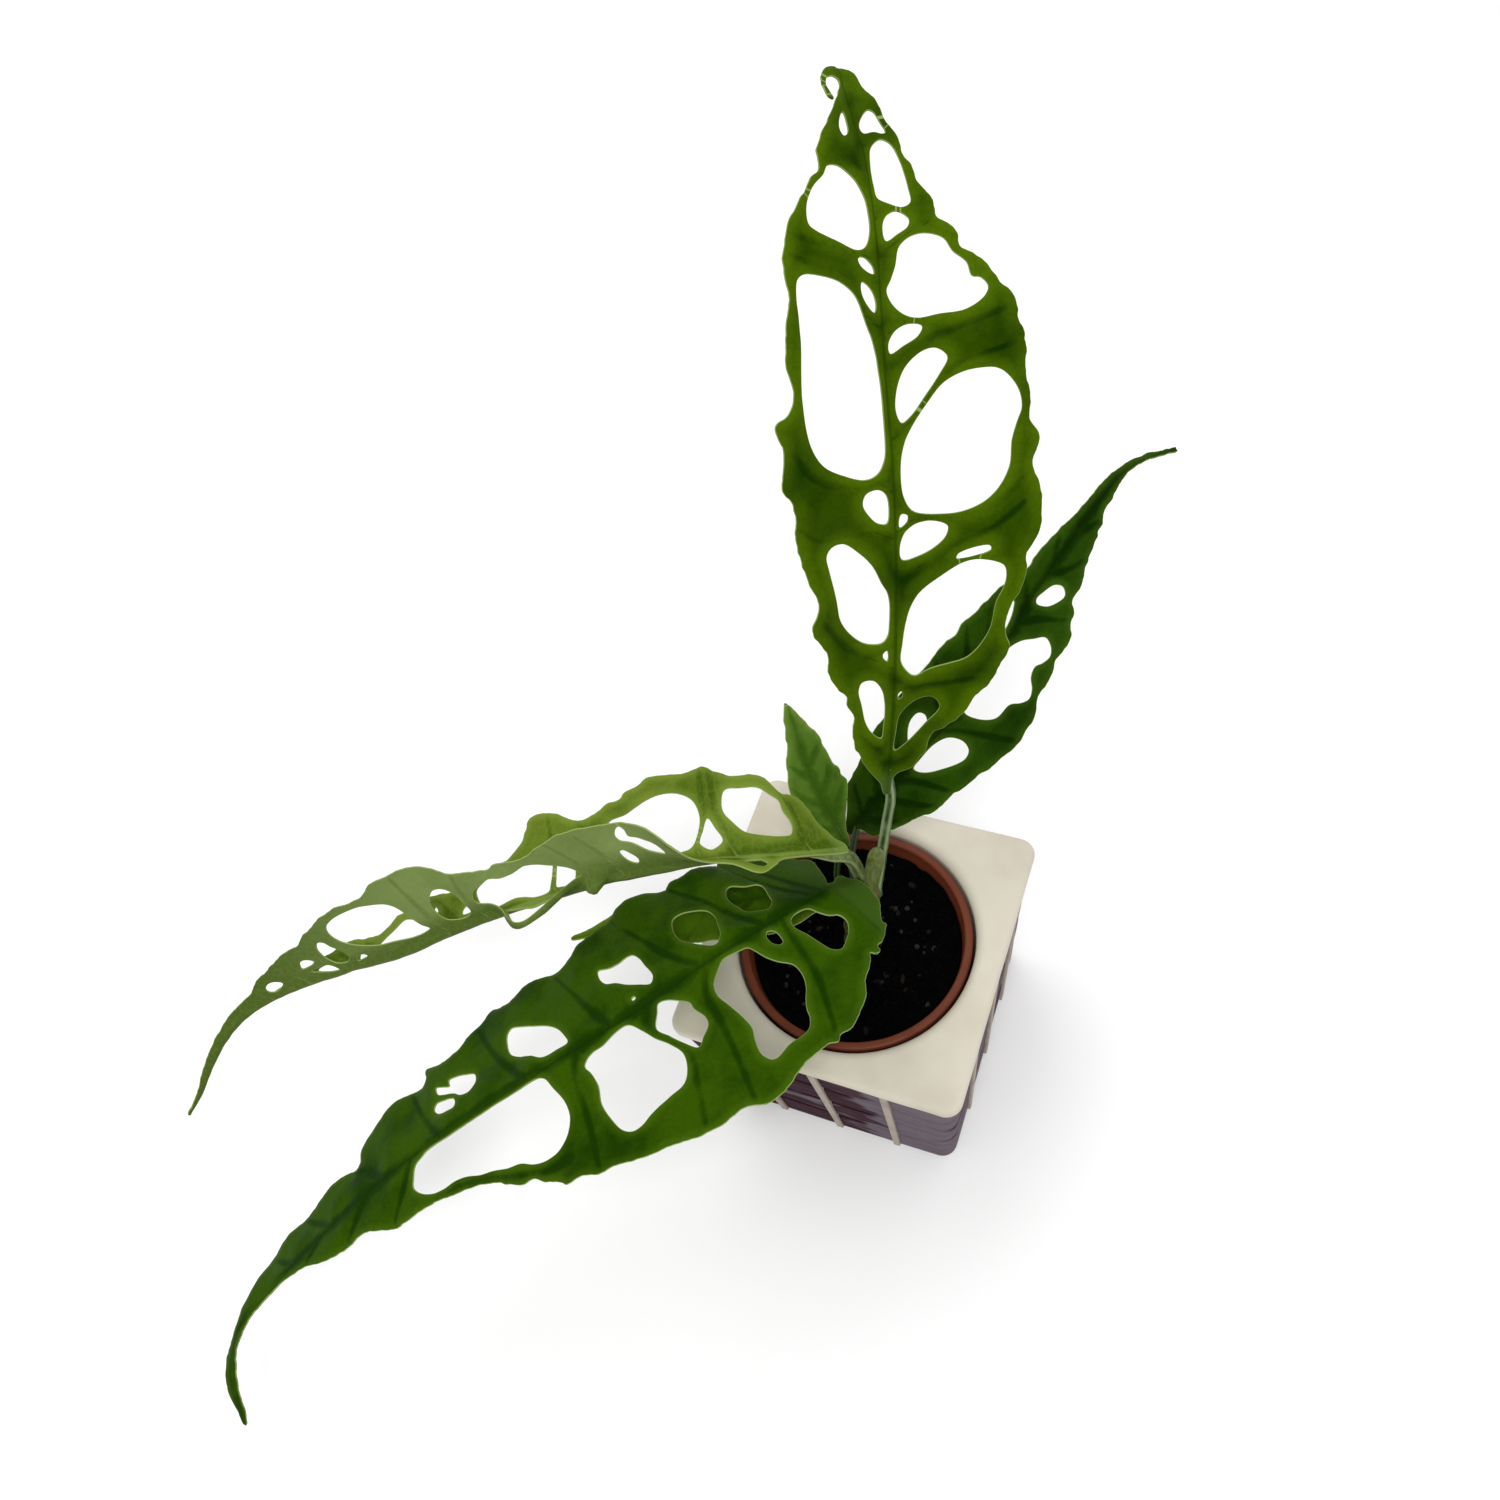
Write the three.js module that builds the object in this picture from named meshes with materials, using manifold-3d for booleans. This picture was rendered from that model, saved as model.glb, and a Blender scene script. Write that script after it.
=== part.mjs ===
// A potted Monstera obliqua: six leaves with their petioles on one short stem, in soil, in a nursery pot,
// in a square planter. Millimetres, +Z up, origin at the centre of the planter's base.
import * as THREE from 'three';
import Module from 'manifold-3d';

const wasm = await Module();
wasm.setup();

// Driving dimensions
const CLEARANCE = 0.3; // gap between pieces that touch

const PLANTER = {
  height: 78,
  topSide: 90,
  bottomSide: 80,
  cornerRadius: 5,
  slabThickness: 4, // plain square frame round the opening
  slabOverhang: 1.2,
  slabUnderside: 0.3, // height over which the slab steps out
  softEdge: 1.5,
  cornerSteps: 4,
  slats: 4, // boards down each side
  grooveDepth: 1.3,
  grooveHeight: 2,
  grooveSlope: 0.4,
  battenWidth: 2.6,
  battenDepth: 1.2,
  battenBottom: 2,
  battenPlaces: [-0.25, 0, 0.25], // in shares of the side
  holeRadius: 36.4,
  lipRadius: 3.2,
  lipSteps: 4,
  wellBottomRadius: 34,
  floor: 6,
};

const NURSERY_POT = {
  rimRadius: 35.6,
  rimHeight: 7,
  rimStep: 1.2,
  wall: 1.4,
  softEdge: 0.6,
  bottomRadius: 28,
  rimBelowTop: 2, // under the planter's top face
  drainHoles: 6,
  drainHoleRadius: 3,
  drainCircle: 19,
};

const ROUND_SEGMENTS = 40;
const DRAIN_SEGMENTS = 12;
const CUT_BEYOND = 2; // how far a cutter passes the face that it opens

const SOIL = {
  top: 68,
  bumps: 0.9,
  edgeRoom: 0.4, // to the wall of the nursery pot
  shoulder: 2, // how far below its top the soil's radius is taken
  rings: 8,
  segments: 30,
};

const STEM = {
  path: [[0, 1, 40], [0, 1, 60], [0, 2, 72], [1, 4, 84], [2, 7, 94], [2.5, 8, 99]],
  radii: [3.6, 3.9, 4.2, 4.4, 5.2, 3.2],
  sides: 12,
  rings: 14,
};

const BLADE_THICKNESS = 0.7;
const RIB_DEPTH = [1.3, 0.2]; // under the blade, at its start and at its tip
const RIB_HALF_WIDTH = 1.6;
const RIB_POINT_SPACING = 6;
const RIB_POINT_MARGIN = [0.5, 0.7]; // to the margin and to a hole, on the midrib and beside it
const POINT_SPACING = 7.5; // between the inner points of a blade
const EDGE_MARGIN = 2.2; // that an inner point keeps from the margin and from a hole

// Each leaf lies along a spine, from where the blade starts to its tip. A blade is drawn flat as [u, v]:
// u runs along the midrib from the start of the blade, and v across it, positive to the right of
// someone who looks from the petiole to the tip with the upper face up. roll lifts the right half, fold
// lifts both halves from the plane across the spine, in degrees, at the base and at the end. They change
// between the two places of twist, or over the whole blade.
// wave is the depth and the length of the margin's waves. A pouch hangs out of one side, deepest at a
// place along the midrib and a reach from it. The margin runs up the right side and back.
const LEAVES = {
  leaf_upright: {
    colour: 0x4d6b0c,
    petiole: [
      [4.7, 10.4, 88.3], [4.5, 11.5, 91.5], [4.9, 15.1, 97], [5.5, 18.6, 106], [6.7, 21.6, 117],
      [8.2, 23.4, 129],
    ],
    petioleRadius: [1.7, 1.4],
    spine: [
      [8, 24, 138], [8, 35, 162], [7, 47, 190], [4, 61, 214], [-1, 76, 238], [-7, 94, 256], [-14, 110, 267],
      [-21, 121, 272], [-26, 130, 274],
    ],
    roll: [-20, -20],
    fold: [12, 12],
    wave: [1.2, 24],
    margin: [
      [-5.6, 0.6], [-2.5, 1], [0.5, 1.3], [2.6, 2.6], [5, 6], [9, 8], [12, 9.6], [17, 10.6], [20, 14],
      [25, 18.5], [30, 21], [34, 24.4], [40, 27], [45, 28.5], [50, 27], [55, 28], [60, 31], [65, 32],
      [68, 31.6], [73, 34], [78, 34.8], [83, 35], [88, 33.5], [94, 34.8], [98, 32.5], [104, 33],
      [110, 32.8], [117, 32.5],
      [122, 31], [128, 30], [131, 27], [135, 24.5], [137, 22], [139, 18.8], [142, 18.2], [144, 17],
      [146, 14.2], [150, 13.8], [154, 11], [157, 10.5], [160, 8.8], [165, 8.6], [170, 7], [175, 6.3],
      [179, 4.4], [183, 3.5], [185.6, 1.4], [186.2, -0.8], [185.4, -3], [183.4, -4.9], [180.6, -5.9],
      [178, -6], [176, -4.9], [175.8, -3.7], [177.4, -4.4], [179.8, -4.6], [182, -3.6], [183, -2.2],
      [182.4, -0.8], [180.4, -0.8], [178, -1.8], [175.4, -3.4], [173, -5], [170, -7.5], [166, -10.5],
      [162, -12.5], [160, -12.5], [157, -13.2], [155, -15.6], [152, -17.4], [148, -20.5], [145, -22.3],
      [139, -23.8], [134, -24.2], [130, -23.2], [128, -23.6], [125, -24.5], [121, -24.8], [117, -25.2],
      [113, -24.2], [110, -24.6], [108, -27], [106.5, -29.8], [104, -29.3], [101, -28], [98, -28.3],
      [93, -29.2], [90, -28.5], [87, -26.8], [82, -26.3], [76, -26], [70, -24.5], [65, -23], [61, -21],
      [57, -20.8], [53, -22], [50, -21.5], [47, -19.5], [43, -18], [38, -17.8], [33, -15.5], [30, -13.2],
      [27, -12.8], [22, -10.8], [17, -10.8], [12, -10], [9, -8.5], [6.5, -7.4], [4, -6], [1.4, -4.2],
      [-1.4, -2.2], [-5.6, -0.8],
    ],
    holes: [
      [[9.8, 1], [13, 4], [20, 8.5], [26, 12], [28.4, 10], [27, 6], [22, 2], [15, 1]],
      [[26.2, 1.2], [27.4, 2.2], [28.8, 1.9], [27.6, 1]],
      [
        [34.4, 5], [37, 9], [39, 14], [41, 18], [44, 20.5], [50, 23.3], [56, 24.5], [60, 26.5], [63, 27],
        [65.5, 26.2], [67, 21], [66.5, 17], [63, 11], [59, 6], [55, 3.8], [50, 2.5], [44, 1.8], [38, 1.5],
        [35.5, 3],
      ],
      [[67.2, 14.8], [68.4, 15.2], [70.4, 22.6], [69.4, 23]],
      [[67.3, 1.5], [68, 5], [70, 9], [73, 12], [75.5, 12.5], [76.8, 9], [76.3, 5], [74, 2.2], [70, 1]],
      [[75.4, 1.1], [76.8, 2.8], [78.6, 2.9], [78.9, 1.6], [77.6, 1]],
      [
        [79.4, 4.6], [78.4, 12], [79, 17], [81, 22], [84, 25.5], [88, 27.8], [94, 28.3], [98, 29.5],
        [101, 30.8], [105, 30.6], [109, 28.5], [111, 26], [111.5, 22.5], [111, 18], [109, 13.5], [105, 9.5],
        [100, 5.5], [96, 3.2], [91, 2], [83, 2.3],
      ],
      [
        [100.8, 3], [102, 5], [106, 8.5], [111, 12.5], [115, 14.5], [117.3, 12], [117, 9], [114, 5],
        [110, 2.8], [104, 1.8],
      ],
      [[117, 1.5], [118.5, 4.5], [120.5, 8], [122.5, 9], [123.2, 6], [122, 3], [119.2, 1.2]],
      [
        [124.5, 8], [125, 13], [125.5, 19], [128, 23.5], [130, 24.5], [132, 23], [132.5, 21], [135.5, 20],
        [138, 17], [141, 15], [142.5, 11], [142, 7.5], [140, 5], [136, 3.8], [133, 2.5], [131, 1.5],
        [128, 2.5], [125.5, 5],
      ],
      [[141.7, 2.2], [143, 5], [144.5, 7.5], [146, 7.8], [148, 5.2], [147.3, 3], [145, 1.8]],
      [
        [148.9, 7], [149.7, 8.7], [153, 8.6], [160, 7.4], [163.4, 6.2], [164.6, 4.5], [163, 2], [159, 1],
        [154, 1], [151.4, 1.4], [150, 3.6],
      ],
      [
        [166.1, 6.3], [169, 5.7], [171.4, 5], [172.3, 3.9], [170.5, 1.8], [168.5, 0.9],
        [166.9, 1.4], [166.8, 3.7],
      ],
      [
        [14, -2.9], [16, -5.5], [20, -7.5], [26, -8.8], [31, -9.8], [33.5, -9], [33.5, -6], [30, -3.5],
        [25, -2.4], [18, -2.4],
      ],
      [[38.6, -2.1], [40.2, -1.9], [42, -2.3], [41.4, -3.2], [39.9, -3.2]],
      [
        [44.6, -3.5], [46, -2.2], [50, -1.6], [58, -2], [62, -4], [67, -6.5], [71, -10], [74, -14],
        [73.5, -17], [71.5, -18.3], [68, -17.8], [60, -16], [54, -14.8], [49, -12], [45, -7.5],
      ],
      [[77, -2.2], [79, -1.5], [84, -2], [86, -4.5], [85.5, -7.5], [83, -8.5], [80, -7], [77.5, -4.5]],
      [
        [89.2, -7.5], [90, -4], [93, -2], [100, -1.3], [110, -1.4], [118, -2.3], [125, -4.5], [130, -6.5],
        [133, -10], [134.5, -15], [134.8, -19], [133.6, -21], [130, -21.6], [126, -21.3], [120, -21],
        [114, -21.7], [110, -22.3], [105, -22.2], [100, -21], [95, -18], [91.5, -13],
      ],
      [[126.3, -1.7], [128, -1.1], [131, -2], [133, -4.5], [131, -4.8], [127.6, -3.2]],
      [[134.8, -1.1], [136.1, -1.3], [138.4, -3.6], [138.1, -5], [136.5, -4.5], [135.1, -2.8]],
      [
        [140.1, -5], [140.6, -3], [143, -1.7], [147, -1.3], [152, -2], [156, -4.5], [158.5, -7.5],
        [158.4, -10.3], [156, -12], [153, -15.2], [149, -17.2], [145.5, -17], [144, -15], [142, -10],
      ],
      [[166.2, -4.2], [167.2, -2.6], [170, -2], [172.6, -2.1], [170.8, -3.7], [167.8, -4.8]],
    ],
  },

  leaf_right: {
    colour: 0x33500f,
    petiole: [[-1, 8.4, 86], [-2.4, 11.4, 88.2], [-5.6, 18.4, 91.2]],
    petioleRadius: [1.5, 1.3],
    spine: [
      [-6, 27, 98], [1, 32, 110], [13, 45, 125], [24, 64, 137], [33, 90, 147], [41, 116, 150],
      [48, 138, 147], [59, 156, 138],
    ],
    roll: [-30, -30],
    fold: [10, 10],
    wave: [0.8, 20],
    margin: [
      [-5.6, 0.9], [-3.6, 1.1], [-1.2, 1.6], [0.2, 2.6], [1.6, 4.8], [2.8, 6.4], [4.4, 7.4], [7, 8],
      [10, 9.2], [13, 10.7], [18, 12], [21, 12.8],
      [24, 14.4], [32, 15], [35, 16], [39, 16.3], [43, 17.6], [47, 18.2], [50, 19], [54, 19.5],
      [57, 18.8], [60, 18.7], [63, 17.4], [66, 16], [70, 16.2], [74, 15.6], [77, 14.8], [80, 15.2],
      [84, 15], [88, 13], [91.5, 12.3], [94, 9.9], [98, 10], [101, 9.2], [104, 7.9], [107, 7.6],
      [110, 6.6], [114, 6], [117, 4.8], [120, 4.3], [123, 2.9], [128, 2.6], [134, 1.6], [140, 0.9],
      [147, 0.6], [155, 0.6], [161, 0.7], [165.5, 0.5], [165.5, -0.5], [161, -0.8], [155, -1.2],
      [147, -1.5], [138, -2.3], [128, -3], [119, -3.2], [114, -3.9], [110, -4.6], [105, -5.1], [101, -6],
      [94, -6.1], [90, -7.3], [86, -9.5], [80, -11.1], [75, -12.4], [72, -13.9], [68, -13.6], [64, -15],
      [57, -15], [50, -15.5], [43, -15.7], [36, -14.9], [30, -14.5], [24, -12.8], [18, -11.2],
      [13, -10.2], [8, -8.7], [3, -5.8], [-1, -3.5], [-5.6, -1.3],
    ],
    holes: [
      [
        [28.6, 1.4], [29, 3], [31, 5.2], [35, 7.8], [39, 10], [41.4, 10.6], [43.6, 9.8], [44.4, 7],
        [42.6, 3.2], [38, 1.2], [32, 1],
      ],
      [
        [51, 2], [52, 6.5], [55, 10], [60, 10.8], [62, 13], [64, 14.2], [66.5, 13.4], [69, 11.4],
        [72, 10.8], [74, 12.1], [76.5, 12.8], [79, 11.5], [80.4, 9], [78.5, 6.5], [76, 3.6], [72, 1.7],
        [62, 1.4], [55, 1.3],
      ],
      [[87.6, 2.1], [88.4, 4.8], [91.5, 6.9], [94, 7.4], [95.9, 5.4], [95, 3.4], [91.5, 1.9], [88.8, 1.3]],
      [[33.4, -3.8], [36, -6.6], [40, -8.6], [43, -8.3], [43.6, -6.4], [41, -3.6], [37, -2.8]],
      [[74.4, -2.2], [78, -1.9], [82, -2.7], [84.6, -4.2], [82, -5.4], [77, -5], [74.2, -3.6]],
    ],
  },

  leaf_small: {
    colour: 0x4f7a24,
    petiole: [[-1.4, 4.6, 75], [-5, 8.1, 79], [-8.4, 12.1, 87], [-8.2, 14.7, 96]],
    petioleRadius: [1.3, 1],
    spine: [[-6, 17, 106], [-11, 21, 114], [-17, 26, 123], [-26, 38, 140]],
    roll: [0, 0],
    fold: [12, 12],
    wave: [0.5, 12],
    margin: [
      [-2, 1], [3, 2.2], [7, 4], [10, 5.5], [13, 7.5], [15, 8.7], [17, 9], [19, 8.4], [22, 8.4], [25, 7.3],
      [28, 7], [30, 6.3], [33, 6.1], [36, 5.2], [38, 3.8], [41, 2.5], [44, 0.9], [46, -0.6], [44, -1.6],
      [40, -2.6], [36, -3.5], [33, -3.8], [31, -4.8], [28, -5.8], [24, -6.8], [20, -7.8], [15, -8.6],
      [10, -8.2], [5, -6.4], [1, -3.6], [-2, -1],
    ],
    holes: [],
  },

  leaf_left: {
    colour: 0x8fa65a,
    petiole: [[0.9, 9.5, 90.8], [1, 10.2, 94], [-0.2, 10.8, 103], [-0.9, 9, 113]],
    petioleRadius: [1.6, 1.9],
    spine: [
      [-2, 7, 122], [-13, -1, 129], [-32, -9, 131], [-52, -18, 130], [-69, -26.5, 127], [-87.5, -35, 120],
      [-106, -45, 113], [-124, -55, 105], [-146, -64, 96], [-170, -77, 85], [-183, -90, 75],
      [-189, -105, 64], [-193, -113, 58],
    ],
    roll: [-8, -54],
    fold: [12, 59],
    twist: [15, 64],
    wave: [0.6, 22],
    pouches: [
      { side: -1, place: 89, reach: 3.8, halfLength: 17, depth: 15 },
      { side: -1, place: 70.5, reach: 2, halfLength: 5, depth: 7 },
    ],
    margin: [
      [-2, 1.3], [0.8, 3.6], [2, 5.6], [3.8, 8.5], [4.6, 10.4], [5.8, 14.6], [8, 17.4], [11, 18.5],
      [16, 19], [20, 22], [23, 24], [28, 24.8], [32, 25.5], [35, 27.5], [38.5, 29.5], [41, 28.3],
      [44, 27.3], [48, 27.6], [50.5, 28], [54, 28.7],
      [56, 27.5], [60, 25.6], [62, 23.6], [66, 22.4], [69, 20.8], [73, 20.3], [77, 21.5], [80, 23.3],
      [83, 25.2], [88, 26], [92, 25.2], [93.2, 22.8], [94.6, 19.8], [97, 17.4], [100, 15.4], [105, 15.2],
      [108, 14], [112, 12.4], [117, 12.2], [121, 12.5], [125, 13.9], [129, 14.3], [133, 13.2], [137, 12.6],
      [141, 12.3], [145, 10.6], [149, 8.9], [154, 8.6], [160, 9.2], [165, 8.7], [170, 7.3], [175, 5.7],
      [181, 5], [186, 3.4], [191, 2.4], [198, 2.3], [205, 2.5], [213, 2.4], [223, 2.2], [233, 1.9],
      [239, 1.4], [245, 0.9], [249, 0.5], [249, -0.5], [245, -0.8], [239, -1.3], [232, -2.2],
      [222, -2.9], [212, -3.8], [203, -5], [197.5, -5.7], [192, -8.6], [186, -10.4], [180, -12.8],
      [175, -14.3], [169, -15], [166, -17], [162, -18.5], [158, -20.5], [155, -22], [151, -23],
      [147, -23.8], [143, -23.3], [138, -23.5], [133, -25.4], [130.5, -27.2], [128, -27.7], [124, -26.8],
      [119, -26.6], [115, -25.6], [112, -24], [110.4, -22], [109, -20.4], [105, -18.4], [100, -16.5],
      [97, -15.9], [95, -16.6], [92, -16.3], [88, -15.6], [84.6, -15.8], [82, -16.9], [79, -17.8],
      [76.4, -18.8], [74.6, -20.6], [73, -23.4], [72, -24.4], [71.4, -23], [70.8, -20.8], [69, -19.2],
      [65, -19.6], [62, -19.2], [58, -19.7], [54, -20.1], [50, -20.6], [47, -20.1], [44, -16.6],
      [40.5, -10.4], [37, -6], [33.5, -4.2], [30.5, -5], [27.8, -6.6], [25.8, -7.7], [24, -7.9],
      [22.4, -7], [21.2, -5.8], [19.8, -3.9], [18.6, -2.2], [17, -1.4], [13, -1.2], [8.8, -1.3],
      [5.6, -1.7], [2, -1.9], [-2, -1.2],
    ],
    holes: [
      [
        [13.5, 8], [14, 10.5], [16, 13.5], [17, 16.5], [20, 18.3], [24, 20.5], [29, 21], [33, 21.2],
        [34, 17.5], [33.5, 14], [31, 10.5], [28, 7.5], [24, 6.3], [18, 5.5], [14.5, 5.8],
      ],
      [[34.2, 5.4], [36, 9.6], [38, 13], [39.5, 9.4], [40.6, 6], [39, 4], [37, 3.2]],
      [
        [40.9, 9], [40.2, 14], [42, 19], [46, 21.4], [51, 22.2], [55, 21.5], [58, 20], [61, 18.3],
        [65, 17.4], [66.6, 15.6], [66, 10], [64, 6], [60, 2.7], [57, 2.5], [52, 3.2], [46, 3.6], [43, 4.6],
      ],
      [
        [77.2, 6], [77.8, 2.8], [79.5, 1.8], [82, 1.9], [84.1, 2.5], [84.2, 5], [83.7, 9],
        [82.9, 13], [80, 12.5], [78, 9.5],
      ],
      [
        [85, 9], [85.9, 4], [86.5, 1.8], [88, 1.3], [92, 1.5], [95, 2.4], [98, 3], [101, 2.9],
        [104, 2.4], [108, 2.2], [109.6, 4], [111, 7.2], [111.2, 9.8], [109, 11.2], [107, 11.9],
        [103, 10.8], [99, 10.9], [96, 11.6], [92, 13], [88, 14], [84.9, 13.4],
      ],
      [[113.6, 4.2], [115, 6.3], [116.8, 4.8], [116.4, 4]],
      [[125, 8.2], [125.9, 9.9], [126.5, 9.2], [125.6, 7.6]],
      [
        [128.4, 4.4], [130.4, 3.3], [136, 4], [144, 4.8], [150, 5.2], [147, 6.8], [142, 8.9], [138, 10],
        [134, 8.7], [130.8, 6.6],
      ],
      [[152, 3], [154, 4], [156.6, 4], [157, 2.6], [154.5, 2]],
      [[163.6, 1.4], [166, 2.6], [170, 4], [174, 3.3], [171, 2], [167, 1.2]],
      [
        [48.3, -8.2], [49, -11], [50.6, -13.2], [54, -14.3], [56.6, -14.6], [57, -17], [58, -18.2],
        [59.3, -17.2], [60.3, -14.6], [59.5, -12.9], [57, -12], [55, -10.6], [52.5, -8.6], [50, -8],
      ],
      [[57, -4.2], [56.6, -5.6], [58, -8], [59.8, -9.6], [60.8, -9.2], [60.2, -6.8], [58.6, -4.6]],
      [[22, -3.4], [22.7, -5], [24.2, -4.9], [26.2, -3.6], [28, -2.1], [26.2, -1.2], [23.8, -1.5]],
      [
        [73.4, -4.8], [75, -4.5], [79, -4.7], [85, -4.8], [92, -4.8], [99, -4.9], [104, -5.2],
        [106.6, -6.4], [107.2, -8], [106.5, -10], [105, -11.3], [102, -12.2], [100, -13], [97, -12.2],
        [92, -11.7], [89, -12.5], [87, -13], [83, -12.1], [79, -10.2], [76, -8.3], [74.4, -6.6],
      ],
      [[81, -1.5], [83, -1.1], [90, -1.2], [97, -1.1], [99.6, -1.7], [97, -2.5], [90, -2.8], [84, -2.6]],
      [
        [110.6, -8], [110.6, -5], [112.4, -3.5], [116, -3.6], [118.8, -5], [119.9, -8], [119.5, -12],
        [118, -14.5], [116, -16], [113.4, -15.8], [111.3, -13.5],
      ],
      [
        [125.6, -4.6], [128, -3.9], [132, -4], [137, -5.2], [144, -6.2], [149, -7.5], [153, -9.5], [156, -12],
        [157, -15], [156, -17.8], [152, -20], [147, -20.9], [141, -21], [135, -20.5], [131, -19.3],
        [129, -17], [128, -13], [127.6, -10], [126.8, -7],
      ],
      [[150.8, -3.6], [153, -2.9], [155.4, -2.7], [154, -4.5], [152, -4.6]],
      [[163.6, -1.5], [166, -1.6], [169, -2.4], [173, -4.1], [169, -4.8], [166, -4.6], [164.5, -3.2]],
      [
        [156.8, -5.2], [159, -3.3], [162.5, -3.8], [164.4, -6.5], [165, -9.5], [164.5, -11.5],
        [163, -13], [161.3, -12.3], [160.3, -10.5], [158, -8],
      ],
      [[169, -7.5], [171, -6.4], [175, -6.3], [174, -8.5], [172, -9.1], [170, -8.4]],
      [[185.2, -4], [186.6, -2.9], [189.2, -2.1], [191.6, -3], [191.8, -4.5], [189.6, -5.8], [187.2, -5.5]],
    ],
  },

  leaf_front: {
    colour: 0x41661a,
    petiole: [[-0.1, 5.6, 91], [-0.2, 6.3, 94.5], [-0.5, 2.7, 103], [-1.8, 0, 110]],
    petioleRadius: [1.6, 1.5],
    spine: [
      [-3, -2, 114], [-10, -15, 121], [-23, -33, 125], [-39, -54, 124], [-57, -72, 118], [-77, -89, 107],
      [-99, -109, 93], [-117, -128, 79], [-135, -149, 62], [-146, -164, 50], [-148, -176, 38],
      [-143, -189, 26],
    ],
    roll: [-15, -15],
    fold: [-10, -10],
    wave: [1, 26],
    margin: [
      [-1.4, 2.2], [-3, 5], [-6, 11], [-7.8, 15], [-7, 18], [-5.5, 20], [-6, 23], [-4, 28], [-1, 32],
      [2, 35.6], [5, 38.2], [10, 37.5], [15, 36.3], [20, 36.2], [27, 36.8], [33, 37.3], [36, 38.8],
      [39, 38], [42, 39], [46, 41], [50, 41.5], [56, 41.2], [62, 40.8], [68, 39.8], [75, 38.5],
      [80, 37], [83, 35], [87, 34], [94, 35.2], [98, 35.8], [103, 36.3], [106, 35.8], [109, 34.3],
      [112, 33.8], [115, 34.3], [118, 35.8], [121, 35.3], [124, 33.8], [127, 31.5], [129.5, 28.2],
      [132, 27], [136, 27], [140, 28], [144.5, 29.5], [144.2, 26], [145.4, 24.3], [150, 25],
      [155, 25.3], [159, 24.5], [163, 23], [166, 21], [170, 18.5], [171.5, 16.5], [172, 13.8],
      [173.6, 12.8], [177, 13.8], [181, 14.3], [185, 14], [190, 12.8], [198, 12.5], [206, 12],
      [214, 10.7], [220, 10], [225, 8], [230, 5.5], [236, 3.5], [241, 2.3], [246, 2.3], [250, 3.3],
      [256, 3.6], [263, 3.3], [268, 2], [273, 0.6], [273, -0.6], [270, -1.2], [262, -0.9], [252, -0.8],
      [246, -1.2], [240, -1.8], [234, -1.2], [228, -0.9], [221, -0.8], [215, -0.9], [207, -2.2],
      [199, -4], [194, -6.4], [188, -8.4], [181, -9.3], [175, -9.2], [171, -10.2], [166, -12.5],
      [161, -14.8], [156, -15.9], [148, -16], [140, -16.8], [134, -18], [128, -19], [124, -20.5],
      [120, -22], [116, -24.3], [111, -26.7], [107, -27], [104, -29], [100, -30.9], [98, -33.1],
      [94, -33], [90, -34.9], [86, -35.2], [82, -36.3], [76, -37.4], [70, -38.7], [65, -40.6],
      [60, -41.3], [55, -40.4], [52, -42.3], [47, -43], [43, -42.3], [38, -41], [34, -40.2], [30, -39],
      [28, -39.8], [26, -38.3], [23, -38.2], [20, -36.2], [17, -34], [14.5, -30], [12, -27.5],
      [10.4, -25.4], [9.5, -24.3], [8.8, -25.7], [7.2, -25.2], [6.6, -24], [4, -23.3], [1.5, -22.2],
      [-0.8, -21], [-2, -20], [-3, -19.3], [-2.8, -17.8], [-3.9, -16.2], [-6, -14.2], [-7.5, -12.5],
      [-8.5, -9.8], [-9, -7.8], [-9.3, -5], [-9, -3], [-8.1, -1.2], [-7.6, 0.1], [-7.2, 1.3],
      [-6.4, 2.4], [-5, 2.5], [-3.2, 1.6],
    ],
    holes: [
      [
        [11.5, 17], [12, 18.5], [18, 19.5], [22, 22], [24, 21.5], [26, 18], [25.5, 13], [24.5, 9],
        [22, 6.5], [19.5, 5.3], [17, 7], [15, 11],
      ],
      [
        [33, 14.5], [33.5, 18], [36, 20.5], [40, 22.8], [43, 22.5], [45, 19], [45.3, 14], [44, 11],
        [42, 7.5], [40, 5], [38, 4], [35.5, 6], [34, 10.5],
      ],
      [
        [57.5, 10], [58, 13], [58.5, 17], [60, 19.8], [66, 20.5], [70, 21.5], [73.5, 22.5],
        [73.8, 19.5], [72, 15.8], [69, 14], [66, 11], [62, 7.5], [59, 5.3], [57.5, 7],
      ],
      [[64.8, 4.2], [65, 5.2], [66, 5], [65.8, 4]],
      [
        [88, 4], [88.8, 7], [91, 11], [94, 14], [100, 17.5], [106, 20.8], [109.5, 22.3], [111, 21],
        [111, 17], [109.5, 13], [106, 10], [101, 7], [97, 4.2], [92, 3.8],
      ],
      [
        [122.5, 11.5], [123, 14], [127, 16.2], [131, 18], [133.5, 18.3], [133.4, 16.2],
        [136, 17.4], [138.8, 18.8], [137.6, 15.6], [135, 14], [131, 12], [128, 9.5], [125, 9],
        [123.5, 10],
      ],
      [[130, 8], [131, 10], [135, 12], [138.5, 12.8], [139.5, 11.5], [137, 8.5], [133, 6.8], [130.5, 6.6]],
      [
        [100, -1.2], [108, -1.3], [115, -1.2], [122, -1.2], [130, -1.1], [136, -1.1], [142, -1.1],
        [144, -1.9], [147.5, -3.5], [149, -6.5], [149.5, -8.5], [147, -11.5], [143, -13.7],
        [139, -14.5], [134, -14.5], [130, -15.2], [125, -17.2], [120, -18.5], [115, -20.2],
        [110, -21.2], [106, -23.2], [102, -24], [98, -23.5], [94.5, -21], [92.7, -17], [93, -12],
        [95, -7], [97, -3],
      ],
      [
        [70, -2], [74, -2.2], [78, -3.4], [82, -3.8], [84.7, -6], [83.5, -9], [82.8, -13], [83.5, -18],
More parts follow.
